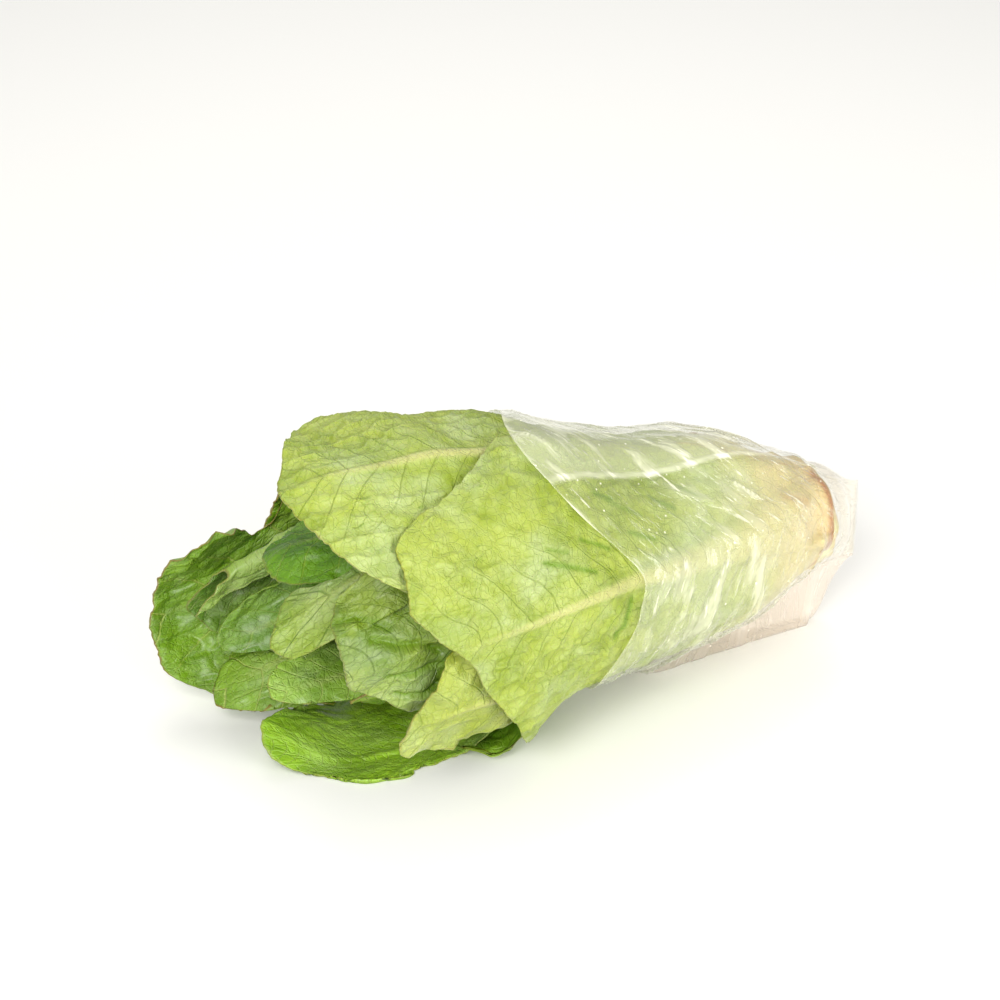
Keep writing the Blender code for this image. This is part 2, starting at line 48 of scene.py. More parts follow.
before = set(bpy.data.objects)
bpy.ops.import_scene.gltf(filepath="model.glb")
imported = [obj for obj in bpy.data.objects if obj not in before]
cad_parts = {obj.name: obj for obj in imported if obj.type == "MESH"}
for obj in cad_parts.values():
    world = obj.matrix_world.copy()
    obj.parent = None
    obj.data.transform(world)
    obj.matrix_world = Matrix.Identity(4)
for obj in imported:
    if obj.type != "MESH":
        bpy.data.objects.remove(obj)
cadLow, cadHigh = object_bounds()
stemLow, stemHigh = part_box("cut_stem")
mm = 0.001
cutX = stemHigh.x / mm                             # x of the cut face
axisY = (stemLow.y + stemHigh.y) / 2 / mm          # y of the head's axis
print("frame loaded")

head = dict(
    reach=292.0, bellyRadius=69.5,
    girth=((-20, 22), (0, 25.5), (25, 34), (60, 43), (100, 49.5), (145, 63.5), (185, 69.5), (300, 69.5)),
    lift=((-20, 31), (0, 28.5), (25, 25.5), (55, 18.5), (80, 14.5), (105, 11.5), (130, 6.5), (160, 0), (300, 0)),
    waist=((60, 0), (80, 0), (105, 4), (130, 11.5), (148, 9.5), (163, 0), (180, 0)),
    flatDepth=3.4, droopFrom=195.0, droopTo=275.0, droopY=0.93, droopZ=0.64, sway=16.0,
    stemRadius=21.0, stemLength=104.0, gap=0.45, blade=0.75, margin=0.42, mostHalfAngle=140.0,
    lollBlend=0.16, sStep=2.0, phiStep=2.0,
)
sLine = np.arange(-6.0, head["reach"] + head["sStep"], head["sStep"])
phiLine = np.arange(0.0, 360.0, head["phiStep"])
sGrid, phiGrid = np.meshgrid(sLine, phiLine, indexing="ij")


# 0 before 0, 1 after 1, and a smooth rise between: 3t^2 - 2t^3
def ease(t):
    t = np.clip(t, 0.0, 1.0)
    return t * t * (3 - 2 * t)


# a smooth line through (x, y) knots: a cubic between each two, with the slope at a knot taken from its neighbours
def curveThrough(x, knots):
    at, value = np.array(knots, dtype=float).T
    slope = np.gradient(value, at)
    i = np.clip(np.searchsorted(at, x, side="right") - 1, 0, len(at) - 2)
    span = at[i + 1] - at[i]
    t = np.clip((x - at[i]) / span, 0.0, 1.0)
    return (value[i] + (value[i + 1] - value[i]) * ease(t)
            + span * t * (1 - t) * (slope[i] * (1 - t) - slope[i + 1] * t))


# outer radius of the head at s
def envelope(s):
    return curveThrough(s, head["girth"])


# (s, phi, r) to x, y, z: a bent tube with a flattened underside, drawn in below where the sleeve ends, whose
# tips sink and sway as limp asks
def toSpace(s, phi, r, limp=1.0):
    sink = limp * ease((s - head["droopFrom"]) / (head["droopTo"] - head["droopFrom"]))
    wide = 1 + (head["droopY"] - 1) * sink
    high = 1 + (head["droopZ"] - 1) * sink
    below = np.cos(np.radians(phi + 90))
    full = 1 - head["flatDepth"] / head["bellyRadius"]
    flat = full / np.clip(below, 0.2, 1.0)
    r = r / (1 + np.clip(1 / flat - 1, 0.0, None) * (below > 0))
    r = r * (1 - curveThrough(s, head["waist"]) * (1 - ease((np.abs(angleFrom(phi, 270.0)) - 25) / 50)) / envelope(s))
    lift = envelope(s) * high * full + curveThrough(s, head["lift"])
    x = cutX - s
    y = axisY + head["sway"] * sink - wide * r * np.cos(np.radians(phi))
    z = lift + high * r * np.sin(np.radians(phi))
    return np.stack([x, y, z], axis=-1)


# heights pressed flat on the ground: soft * log(1 + exp(height / soft))
def softFloor(height, soft=2.5):
    pressed = soft * np.log1p(np.exp(np.minimum(height, 6 * soft) / soft))
    return np.where(height > 6 * soft, height, pressed)


# signed angle from centre to phi, between -180 and 180
def angleFrom(phi, centre):
    return (phi - centre + 180.0) % 360.0 - 180.0


# the lattice averaged with its neighbours; phi goes round
def blurLattice(field, passes):
    for _ in range(passes):
        along = np.concatenate([field[:1], field, field[-1:]])
        field = (along[:-2] + 2 * field + along[2:]) / 4
        field = (np.roll(field, 1, 1) + 2 * field + np.roll(field, -1, 1)) / 4
    return field


# a grid averaged with its neighbours, its edges held
def blurGrid(field, passes):
    for _ in range(passes):
        wide = np.pad(field, 1, mode="edge")
        field = (wide[:-2, 1:-1] + 2 * wide[1:-1, 1:-1] + wide[2:, 1:-1]) / 4
        wide = np.pad(field, 1, mode="edge")
        field = (wide[1:-1, :-2] + 2 * wide[1:-1, 1:-1] + wide[1:-1, 2:]) / 4
    return field


# the lattice read between its points, by straight lines both ways
def sampleLattice(field, s, phi):
    i = np.clip((s - sLine[0]) / head["sStep"], 0, len(sLine) - 1.001)
    j = (phi % 360.0) / head["phiStep"]
    i0, j0 = i.astype(int), np.floor(j).astype(int) % len(phiLine)
    fi, fj = i - i0, j - np.floor(j)
    j1 = (j0 + 1) % len(phiLine)
    near = field[i0, j0] * (1 - fj) + field[i0, j1] * fj
    far = field[i0 + 1, j0] * (1 - fj) + field[i0 + 1, j1] * fj
    return near * (1 - fi) + far * fi


# smooth bumps between -1 and 1: a sum of six sine waves in seeded directions, about size across
def bumps(x, y, size, seed):
    dice = np.random.default_rng(seed)
    total = 0.0
    for _ in range(6):
        turn, phase = dice.uniform(0, 2 * math.pi, 2)
        stretch = dice.uniform(0.7, 1.5)
        total = total + np.sin(2 * math.pi * stretch / size * (x * math.cos(turn) + y * math.sin(turn)) + phase)
    return total / 3.2


# cells about size across: the distance to the nearest of one jittered point per square, and the gap to the second
def cells(x, y, size, seed):
    gx, gy = x / size, y / size
    cx, cy = np.floor(gx), np.floor(gy)
    first = np.full(x.shape, 9.0)
    second = np.full(x.shape, 9.0)
    for dx in (-1, 0, 1):
        for dy in (-1, 0, 1):
            px, py = cx + dx, cy + dy
            mixed = np.sin(px * 127.1 + py * 311.7 + seed) * 43758.5453
            other = np.sin(px * 269.5 + py * 183.3 + seed) * 43758.5453
            away = np.hypot(px + 0.5 + 0.75 * (mixed % 1 - 0.5) - gx, py + 0.5 + 0.75 * (other % 1 - 0.5) - gy)
            second = np.minimum(second, np.maximum(first, away))
            first = np.minimum(first, away)
    return first, second - first


# the stem's radius: it tapers from the cut to a blunt point among the heart leaves
def stemRadiusAt(s):
    t = np.clip(s / head["stemLength"], 0.0, 1.0)
    return head["stemRadius"] * (1 - t ** 1.6) ** 0.7 * (1 - 0.35 * t)


# one leaf's values; layer is its place from the axis, 0, to the outside, 1, and reach lists the s of its
# tip edge at even steps across it, low phi first
def leaf(name, angle, root, tip, halfWidth, layer, **more):
    one = dict(name=name, angle=angle, root=root, tip=tip, halfWidth=halfWidth, layer=layer,
               drift=0.0, rib=1.0, wave=1.6, waves=5.0, phase=0.0, lift=0.0, bow=0.24, foot=0.30,
               widest=0.70, close=0.25, limp=1.0, lobe=None, finish="innerLeaf", grid=(150, 110),
               blister=1.1, pucker=13.0, swell=1.1, ruffle=1.0, veins=13.0, high=1.0, low=1.0, corner=0.12, ribShow=1.0,
               tuck=None, fold=None, dents=(), lines=(), stains=(), pulls=())
    one.update(more)
    if "reach" not in one:
        drop = one["bow"] * (tip - root)
        one["reach"] = [tip - drop * abs(v) ** 2.2 for v in np.linspace(-1, 1, 5)]
    return one


# the hidden leaves round the growing point, each a golden angle from the last
def heartLeaves(count=10):
    found = []
    for i in range(count):
        share = i / (count - 1)
        found.append(leaf(f"heart_leaf_{i + 1:02d}", (40 + 137.5 * i) % 360, 78 - 36 * share,
                          178 + 28 * share, 24 + 20 * share, 0.10 + 0.30 * share,
                          rib=0.5 + 0.25 * share, wave=1.8, waves=4.0 + share, phase=2.4 * i,
                          finish="heartLeaf", grid=(60, 36), blister=0.5))
    return found


leaves = heartLeaves() + [
    leaf("centre_leaf_far", 202, 38, 255, 32, 0.50, phase=0.7, high=0.8, reach=(240, 252, 255, 246, 212), finish="youngLeaf"),
    leaf("centre_leaf_low", 262, 36, 178, 34, 0.30, phase=1.9, rib=0.5, grid=(90, 50)),
    leaf("centre_leaf_near", 318, 34, 226, 36, 0.50, phase=3.1),
    leaf("crown_leaf", 96, 32, 243, 38, 0.60, phase=2.1, rib=0.6, reach=(232, 240, 244, 244, 241, 236, 228), swell=2.6,
         blister=1.4, finish="darkLeaf"),
    leaf("folded_leaf", 165, 30, 257, 44, 0.66, phase=4.0, reach=(228, 242, 252, 261, 260, 254, 246),
         fold=(-0.42, 1.9), blister=1.5, close=0.1, finish="foldedLeaf"),
    leaf("low_leaf_near", 258, 26, 246, 34, 0.46, phase=0.2, rib=0.4, bow=0.14, blister=1.3, swell=2.0, high=0.48,
         finish="brightenedLobeLeaf", lobe=(0.66, (-73, 14, 26), (-0.5, -0.5, 0.9), 30)),
    leaf("low_leaf_far", 222, 28, 262, 38, 0.60, phase=5.2, rib=0.6, bow=0.16, blister=1.3, swell=2.0,
         lobe=(0.66, (-85, 44, 12), (-0.5, -0.4, 0.9), 26)),
    leaf("near_leaf_tip", 53, 24, 258, 20, 0.68, phase=0.4, reach=(253, 256, 257, 255, 252, 249, 244), close=0.1,
         tuck=(1, 226, 17, 0.75), finish="paleLeaf"),
    leaf("near_leaf", 12, 24, 243, 50, 0.75, phase=1.4, reach=(204, 219, 231, 237, 239, 239, 232), swell=2.4,
         corner=0.05, finish="paleLeaf", grid=(180, 140), veins=9.0, ribShow=0.35,
         dents=((212, 33, 6, 5.0), (222, 10, 9, -3.0), (205, 5, 8, 2.5), (216, -14, 12, -3.0)),
         lines=((((227, 25), (218, 17), (208, 12), (202, 6)), 1.3, 2.6, 0.85),
                (((224, 6), (215, 2), (203, 0)), 1.2, 2.2, 0.75),
                (((220, -6), (211, -9), (204, -8)), 1.1, 1.8, 0.7),
                (((237, 40), (230, 37), (226, 33), (220, 25)), 1.3, 2.4, 0.8))),
    leaf("far_leaf", 187, 20, 272, 66, 0.88, phase=2.2, widest=0.95, close=0.08, tuck=(-1, 224, 15, 0.62),
         reach=(258, 267, 270, 272, 272, 268, 250), blister=1.6, pucker=17.0, veins=21.0, grid=(180, 150)),
    leaf("floor_leaf", 282, 18, 247, 45, 0.84, phase=3.6, rib=0.6, bow=0.2, veins=4.5, blister=0.7, swell=2.0,
         lobe=(0.62, (-88, -3, 14), (-0.15, -0.45, 0.9), 55), grid=(180, 150), ribShow=0.12,
         tuck=(1, 182, 28, 0.55), low=1.6, finish="floorLeaf",
         pulls=((-86, 1, 0.8, 4.4), (-88, -7, 3.8, 1.5), (-80, -17, 6.8, 3.3), (-69, -23, 3.9, 3.2),
                (-39, -31, 1.6, -1.5), (-20, -36, -2.0, 4.0), (-60, 12, 0.0, 6.0))),
    leaf("back_leaf", 142, 16, 220, 58, 0.90, phase=5.0, reach=(171, 205, 214, 217, 219, 221, 219)),
    leaf("side_leaf", 345, 14, 221, 31, 0.90, phase=0.9, reach=(186, 215, 222, 220, 214, 209, 206), close=0.1,
         dents=((216, -31, 10, -6.0),), finish="sideLeaf"),
    leaf("outer_leaf_under", 250, 12, 202, 66, 0.935, phase=4.4, rib=0.7, wave=0.6, limp=0,
         pulls=((3, -14, -6.5, -9.4), (15, -21, -3.1, -13.8))),
    leaf("outer_leaf_back", 168, 11, 206, 64, 0.95, phase=1.1, wave=1.0, limp=0, finish="outerLeaf"),
    leaf("outer_leaf_top", 75, 9, 252, 78, 0.965, phase=2.9, wave=0.9, limp=0, lift=1.5,
         reach=(210, 232, 243, 248, 252, 244, 237, 228, 212), finish="outerLeaf", grid=(200, 170), ruffle=0.6,
         blister=1.5, pucker=9.0, corner=0.04, dents=((190, 100, 44, -6.5),),
         lines=((((158, 66), (140, 58)), 1.0, 0.5, 0.6), (((150, 84), (136, 78)), 1.0, 0.5, 0.7),
                (((134, 77), (126, 70), (119, 62)), 2.0, 0.5, 0.8), (((116, 84), (108, 75)), 1.2, 0.4, 0.6)),
         stains=((((58, 119), (40, 117), (25, 114), (14, 109), (9, 100)), 1.6, 0.3, 0.85),
                 (((30, 70), (14, 66), (10, 60)), 1.0, 0.2, 0.5))),
    leaf("outer_leaf_front", 25, 7, 221, 106, 0.985, phase=0.5, wave=0.8, drift=-15, limp=0, high=0.70,
         reach=(152, 164, 172, 179, 188, 195, 204, 213, 218, 221, 221, 218, 203), finish="outerLeaf",
         grid=(200, 220), ruffle=0.6, blister=1.3, pucker=9.0, corner=0.02, dents=((166, -58, 18, -5.5),),
         lines=((((160, 32), (138, 24)), 1.1, 0.6, 0.9), (((141, 36.5), (128, 31.5)), 1.0, 0.5, 0.8),
                (((124, 52.5), (107, 44)), 1.0, 0.5, 0.6), (((121, 10), (129, -4)), 1.8, 0.5, 0.9),
                (((158, 36), (149, 33)), 0.9, 0.4, 0.6), (((122, -30), (115, -36)), 1.2, 0.4, 0.8),
                (((126, 54), (119, 52)), 1.2, 0.4, 0.9), (((115, 37), (104, 33)), 1.2, 0.4, 0.8),
                (((98, 53), (89, 46)), 1.2, 0.4, 0.7), (((84, 57), (75, 49)), 1.2, 0.4, 0.7),
                (((112, -22), (108, -26)), 1.3, 0.3, 0.8), (((90, 5), (88, 0)), 1.0, 0.3, 0.6)),
         stains=((((10, 62), (8, 30), (8, 0), (10, -25)), 1.6, 0.3, 0.8), (((34, 40), (24, 34)), 2.2, 0.2, 0.4),
                 (((36, -42), (22, -30), (10, -12)), 1.0, 0.3, 0.6))),
]


# half the blade's width at u: a stalk that spreads into a blade and draws in a little at the end
def halfWidthAt(one, u):
    spread = one["foot"] + (1 - one["foot"]) * ease(u / one["widest"])
    return one["halfWidth"] * spread * (1 - one["close"] * ease((u - 0.7) / 0.3))


def centreAngle(one, s):
    return one["angle"] + one["drift"] * np.clip((s - one["root"]) / (one["tip"] - one["root"]), 0.0, 1.0)


# half the angle that the leaf covers round the head: its half width over the radius there; each side has its
# own share of it, and a tuck draws one side in round one place
def halfAngle(one, s, u, v):
    radius = np.maximum(one["layer"] * envelope(s), stemRadiusAt(s) + 2)
    half = np.minimum(np.degrees(halfWidthAt(one, u) / radius), head["mostHalfAngle"])
    half = half * np.where(v > 0, one["high"], one["low"])
    if one["tuck"]:
        side, at, width, depth = one["tuck"]
        half = half * (1 - depth * np.exp(-((s - at) / width) ** 2) * ease(side * v / 0.3))
    return half


# how far the midrib stands out of the blade, and its pale crest: a rounded bar, tall and broad at the root
def ribShape(one, u, across):
    tall = 5.6 * one["rib"] * (1 - u) ** 1.5 + 0.7
    half = 15.0 * one["rib"] * (1 - u) ** 1.9 + 1.9
    crest = 17.0 * one["rib"] * (1 - u) ** 3.0 + 1.5
    height = tall * np.clip(1 - (across / half) ** 2, 0.0, 1.0) ** 0.9
    return height, np.exp(-(across / crest) ** 4) * ease((1.0 - u) / 0.25)


# the s of the tip edge, v of the way from the middle line to a margin
def reachAt(one, v):
    return curveThrough(v, tuple(zip(np.linspace(-1, 1, len(one["reach"])), one["reach"])))


# (s, phi) of places u along and v across the leaf; the margin wanders and is finely toothed
def leafPlan(one, u, v):
    seed = sum(map(ord, one["name"]))
    edge = one["halfWidth"] * v
    wander = 1.0 * bumps(edge, 0 * edge, 34, seed) + 0.22 * bumps(edge, 0 * edge, 4.5, seed + 1)
    s = one["root"] + (reachAt(one, v) + wander - one["root"]) * u
    corner = 1 - one["corner"] * (1 - np.sqrt(1 - np.clip((u - 0.82) / 0.18, 0.0, 1.0) ** 2))
    side = 1 + (0.02 * bumps(s, 0 * s, 40, seed + 2) + 0.005 * bumps(s, 0 * s, 5, seed + 3)) * np.abs(v)
    phi = centreAngle(one, s) + v * corner * side * halfAngle(one, s, u, v)
    return s, phi


# (u, v) of places on the head: near enough the other way about for laying the leaf
def leafPlace(one, s, phi):
    guess = np.clip((s - one["root"]) / (one["tip"] - one["root"]), 0.0, 1.0)
    away = angleFrom(phi, centreAngle(one, s))
    v = away / halfAngle(one, s, guess, away / 90)
    edge = reachAt(one, np.clip(v, -1.0, 1.0))
    return (s - one["root"]) / (edge - one["root"]), v


# a margin folded over along one line: the place across that v takes, how far it drops, and the turn of its face
def foldOver(one, v):
    if not one["fold"]:
        return v, 0 * v, 0 * v
    line, bend = one["fold"]
    past = (line - v) * one["halfWidth"]
    turn = np.clip(past / bend, 0.0, math.pi)
    across = np.where(past > 0, (np.maximum(past - math.pi * bend, 0.0) - bend * np.sin(turn)) / one["halfWidth"], 0.0)
    drop = bend * (1 - np.cos(turn)) + 2.0 * ease(past / one["halfWidth"] / 0.35) * (past > 0)
    return np.where(past > 0, line + across, v), drop, turn


# drawn lines on a leaf, each a path of (s, phi), a width, a depth and a darkness: how dark and how deep every place
# is, from its distance to the nearest stretch of a path
def drawnLines(lines, s, phi, r):
    dark, deep = 0 * s, 0 * s
    for path, width, depth, darkness in lines:
        away = 0 * s + 99.0
        for (s0, phi0), (s1, phi1) in zip(path[:-1], path[1:]):
            ax, ay = s - s0, np.radians(angleFrom(phi, phi0)) * r
            bx, by = s1 - s0, np.radians(phi1 - phi0) * r
            t = np.clip((ax * bx + ay * by) / (bx ** 2 + by ** 2), 0.0, 1.0)
            away = np.minimum(away, np.hypot(ax - t * bx, ay - t * by))
        drawn = np.exp(-(away / width) ** 2)
        dark, deep = np.maximum(dark, darkness * drawn), np.maximum(deep, depth * drawn)
    return dark, deep


# the radius of the leaf's inner face over the lattice: its own free shape, or what is beneath where that is higher
def layLeaf(one, beneath):
    u, v = leafPlace(one, sGrid, phiGrid)
    u = np.clip(u, 0.0, 1.0)
    free = one["layer"] * envelope(sGrid)
    margin = ease((np.abs(v) - 0.35) / 0.65)
    ripple = one["wave"] * margin * ease((u - 0.3) / 0.4)
    free = free + ripple * np.sin(2 * math.pi * one["waves"] * u + one["phase"] + 0.9 * np.sign(v))
    free = free + one["lift"] * ease((u - 0.7) / 0.3)
    rest = beneath + head["gap"]
    face = rest + (np.maximum(free, rest) - rest) * ease(u / 0.22)
    return np.maximum(blurLattice(face, 4), beneath + head["gap"])


# a tip that has left the head: an arc across it is carried along a bent line to a place of its own
def lolled(points, along, reach, lobe):
    start, target, upward, radius = lobe
    target = np.array(target) + (cutX - 172.0, axisY, 0.0)
    middle = points.shape[1] // 2
    line = points[:, middle]
    base = int(start * (len(line) - 1))
    tangent = line[base] - line[base - 4]
    tangent /= np.linalg.norm(tangent)
    turn = line[base] + 0.5 * np.linalg.norm(target - line[base]) * tangent
    t = np.clip((along - along[base, middle]) / (1 - along[base, middle]), 0.0, 1.0)[..., None]
    spine = (1 - t) ** 2 * line[base] + 2 * t * (1 - t) * turn + t ** 2 * target
    way = (1 - t) * (turn - line[base]) + t * (target - turn)
    way /= np.linalg.norm(way, axis=-1, keepdims=True)
    up = np.array(upward) - way * (way @ np.array(upward))[..., None]
    up /= np.linalg.norm(up, axis=-1, keepdims=True)
    side = np.cross(way, up)
    side *= np.sign((points[base, -1] - points[base, 0]) @ side[base, middle])
    theta = (reach / radius)[..., None]
    sheet = spine + side * radius * np.sin(theta) - up * radius * (1 - np.cos(theta))
    share = ease((along - along[base, middle]) / head["lollBlend"])[..., None]
    return points + (sheet - points) * share


# how far along the ground each point is pulled: a sum of soft hills, each a place (x, y) and a pull (dx, dy)
def pulled(points, pulls):
    fixed = points[..., :2] - (cutX - 172.0, axisY)
    total = np.zeros(fixed.shape)
    for x, y, dx, dy in pulls:
        near = np.exp(-((fixed[..., 0] - x) ** 2 + (fixed[..., 1] - y) ** 2) / 15.0 ** 2)
        total = total + near[..., None] * (dx, dy)
    return total


# unit normals of a grid of points, out of the head: the cross product of its two directions
def gridNormals(points):
    normal = np.cross(np.gradient(points, axis=1), np.gradient(points, axis=0))
    return normal / np.maximum(np.linalg.norm(normal, axis=-1, keepdims=True), 1e-9)


# how far along the leaf's own side veins a place is, in veins: they leave the midrib and curve to the tip
def veinPhase(one, along, across, seed):
    lean = along - 0.75 * np.abs(across) - 0.0035 * across ** 2
    return (lean + 3.0 * np.tanh(across / 5.0) + 2.6 * bumps(along, across, 38, seed)) / one["veins"]


# both faces of a leaf as grids of points, its marks, and the lattice with this leaf laid on it
def leafFaces(one, beneath):
    seed = sum(map(ord, one["name"]))
    rows, columns = one["grid"]
    edgeward = np.linspace(-1, 1, columns + 1)
    edgeward = np.sign(edgeward) * np.abs(edgeward) ** 1.1
    u, v = np.meshgrid(np.linspace(0, 1, rows), edgeward, indexing="ij")
    shown, drop, turn = foldOver(one, v)
    s, phi = leafPlan(one, u, shown)
    r = blurGrid(sampleLattice(layLeaf(one, beneath), s, phi), 3)
    around = angleFrom(phi, centreAngle(one, s))
    across = np.radians(around) * r
    along = s - one["root"]
    blade = ease((u - 0.12) / 0.35)
    ribs, crest = ribShape(one, u, across)
    phase = veinPhase(one, along, across, seed)
    toVein = np.abs(phase % 1 - 0.5) * one["veins"]
    vein = np.exp(-(toVein / 1.5) ** 2) * ease((np.abs(across) - 2) / 8) * blade
    rimward = ease((np.abs(v) - 0.55) / 0.45) * ease((u - 0.25) / 0.3) + ease((u - 0.8) / 0.2)
    nearest, gap = cells(along * 0.8 + 3 * bumps(along, across, 20, seed), across * 1.25, one["pucker"], seed)
    puff = one["blister"] * (1 - nearest ** 2) * ease(gap / 0.35) * blade * (1 - ease(1.5 - np.abs(across) / 8))
    swell = one["swell"] * bumps(along, across, 46, seed + 5) * blade
    for at, place, wide, deep in one["dents"]:
        swell = swell - deep * np.exp(-((s - at) ** 2 + (np.radians(angleFrom(phi, place)) * r) ** 2) / wide ** 2)
    # the drawn lines' darkness is painted shade in the creases; the stains are the leaf's own browning
    creaseShade, deep = drawnLines(one["lines"], s, phi, r)
    stain, shallow = drawnLines(one["stains"], s, phi, r)
    swell = swell - deep - shallow
    frill = one["ruffle"] * rimward * (1.5 * bumps(along, across, 26, seed + 7) + 0.5 * bumps(along, across, 9, seed + 9))
    wanted = r + swell + frill - puff
    floor = blurGrid(sampleLattice(beneath, s, phi), 1) + head["gap"]
    inner = floor + softFloor(wanted - floor, 0.3)
    edgeThin = ease((1 - np.abs(v)) / 0.2)
    thick = head["margin"] + (head["blade"] - head["margin"]) * edgeThin + ribs + 0.35 * vein
    inner = inner - drop
    outer = inner + thick * np.cos(turn)
    innerPoints = toSpace(s, phi, inner, one["limp"])
    outerPoints = toSpace(s, phi - np.degrees(thick * np.sin(turn) / r), outer, one["limp"])
    still = int(one["lobe"][0] * (rows - 1)) + 4 if one["lobe"] else rows
    beneath = coverLattice(s[:still], phi[:still], outer[:still], beneath)
    offset = outerPoints - innerPoints
    depth = np.linalg.norm(offset, axis=-1, keepdims=True)
    if one["lobe"]:
        share = (s - one["root"]) / (one["tip"] - one["root"])
        loose = ease((share - one["lobe"][0]) / head["lollBlend"])[..., None]
        innerPoints = lolled(innerPoints, share, across, one["lobe"])
        innerPoints[..., :2] += pulled(innerPoints, one["pulls"]) * loose
        normals = gridNormals(innerPoints)
        innerPoints += normals * loose * (0.7 * swell + 0.8 * frill - puff)[..., None]
        ground = depth[..., 0] + 0.3
        resting = ground + softFloor(innerPoints[..., 2] - ground)
        innerPoints[..., 2] += (resting - innerPoints[..., 2]) * np.minimum(4 * loose[..., 0], 1.0)
        outerPoints = innerPoints + offset * (1 - loose) + gridNormals(innerPoints) * depth * loose
    else:
        shift = pulled(outerPoints, one["pulls"]) * ease((u - 0.6) / 0.2)[..., None]
        innerPoints[..., :2] += shift
        outerPoints[..., :2] += shift
    outerPoints[..., 2] = np.maximum(outerPoints[..., 2], 0.05)
    innerPoints[..., 2] = np.maximum(innerPoints[..., 2], 0.1)
    toEdge = np.minimum((1 - np.abs(v)) * one["halfWidth"], (1 - u) * (one["tip"] - one["root"]))
    marks = dict(rib=crest * one["ribShow"], edge=toEdge / 10, fromCut=s / 100, creaseShade=creaseShade, stain=stain)
    maps = dict(leafMap=(across / 10, along / 10), veinMap=(phase, np.abs(across) / 10))
    return innerPoints, outerPoints, marks, maps, beneath


# the highest of what is beneath and this leaf's outer face, point by point on the lattice
def coverLattice(s, phi, r, beneath):
    i = np.clip((s - sLine[0]) / head["sStep"], 0, len(sLine) - 1.001).astype(int)
    j = (phi % 360.0 / head["phiStep"]).astype(int)
    covered = beneath.copy()
    for di, dj in ((0, 0), (0, 1), (1, 0), (1, 1)):
        np.maximum.at(covered, (i + di, (j + dj) % len(phiLine)), r)
    return covered


# the quads between neighbouring rows and columns of point numbers
def gridFacets(index, turned):
    a, b, c, d = (index[:-1, :-1], index[1:, :-1], index[1:, 1:], index[:-1, 1:])
    facets = np.stack([a.ravel(), b.ravel(), c.ravel(), d.ravel()], axis=1)
    return facets[:, ::-1] if turned else facets


# a mesh object from points in millimetres, its facets, float marks per point and named uv maps per point
def meshPiece(name, points, facets, marks=None, maps=None):
    mesh = bpy.data.meshes.new(name + "_mesh")
    mesh.vertices.add(len(points))
    mesh.vertices.foreach_set("co", (points * mm).ravel())
    facets = np.asarray(facets)
    mesh.loops.add(facets.size)
    mesh.loops.foreach_set("vertex_index", facets.ravel())
    mesh.polygons.add(len(facets))
    mesh.polygons.foreach_set("loop_start", np.arange(0, facets.size, 4))
    mesh.update(calc_edges=True)
    for mark, values in (marks or {}).items():
        mesh.attributes.new(mark, "FLOAT", "POINT").data.foreach_set("value", values.ravel())
    for title, values in (maps or {}).items():
        layer = mesh.uv_layers.new(name=title)
        layer.data.foreach_set("uv", values[facets.ravel()].ravel())
    mesh.validate()
    mesh.shade_smooth()
    piece = bpy.data.objects.new(name, mesh)
    bpy.context.scene.collection.objects.link(piece)
    return piece


# a closed thin piece between an inner and an outer grid; outside is 0 on the inner face and 1 on the outer
def slabPiece(name, inner, outer, marks, maps):
    rows, columns = inner.shape[:2]
    count = rows * columns
    index = np.arange(count).reshape(rows, columns)
    rim = np.concatenate([index[0, :-1], index[:-1, -1], index[-1, :0:-1], index[:0:-1, 0]])
    after = np.roll(rim, -1)
    wall = np.stack([rim, after, after + count, rim + count], axis=1)
    facets = np.concatenate([gridFacets(index, False), gridFacets(index + count, True), wall])
    points = np.concatenate([inner.reshape(-1, 3), outer.reshape(-1, 3)])
    doubled = {mark: np.tile(values.ravel(), 2) for mark, values in marks.items()}
    doubled["outside"] = np.repeat([0.0, 1.0], count)
    flat = {title: np.tile(np.stack([x.ravel(), y.ravel()], axis=1), (2, 1)) for title, (x, y) in maps.items()}
    return meshPiece(name, points, facets, doubled, flat)


# ---- materials

def addNode(tree, kind, values=None, **settings):
    made = tree.nodes.new("ShaderNode" + kind)
    for name, value in settings.items():
        setattr(made, name, value)
    for name, value in (values or {}).items():
        if isinstance(value, bpy.types.NodeSocket):
            tree.links.new(value, made.inputs[name])
        else:
            made.inputs[name].default_value = value
    return made


def calc(tree, kind, a, b=0.0, clamp=False):
    return addNode(tree, "Math", {0: a, 1: b}, operation=kind, use_clamp=clamp).outputs[0]


# the value carried from low..high to 0..1 by a smooth step
def stepped(tree, value, low, high):
    made = addNode(tree, "MapRange", {"Value": value, "From Min": low, "From Max": high},
                   interpolation_type="SMOOTHSTEP")
    return made.outputs["Result"]


def mixed(tree, share, a, b, blend="MIX"):
    made = addNode(tree, "Mix", {0: share, 6: a, 7: b}, data_type="RGBA", blend_type=blend)
    return made.outputs[2]


def noise(tree, vector, scale, detail=2.0, roughness=0.5):
    made = addNode(tree, "TexNoise", {"Vector": vector, "Scale": scale, "Detail": detail, "Roughness": roughness})
    return made.outputs["Fac"]


def mark(tree, name):
    return addNode(tree, "Attribute", attribute_name=name).outputs["Fac"]


def rgba(colour):
    return (*colour, 1.0)


# a node group with float inputs and the outputs named; returns its tree and its two end nodes
def startGroup(name, inputs, outputs):
    tree = bpy.data.node_groups.new(name, "ShaderNodeTree")
    for title, value in inputs.items():
        tree.interface.new_socket(name=title, in_out="INPUT", socket_type="NodeSocketFloat").default_value = value
    for title in outputs:
        tree.interface.new_socket(name=title, in_out="OUTPUT", socket_type="NodeSocketFloat")
    return tree, tree.nodes.new("NodeGroupInput").outputs, tree.nodes.new("NodeGroupOutput").inputs


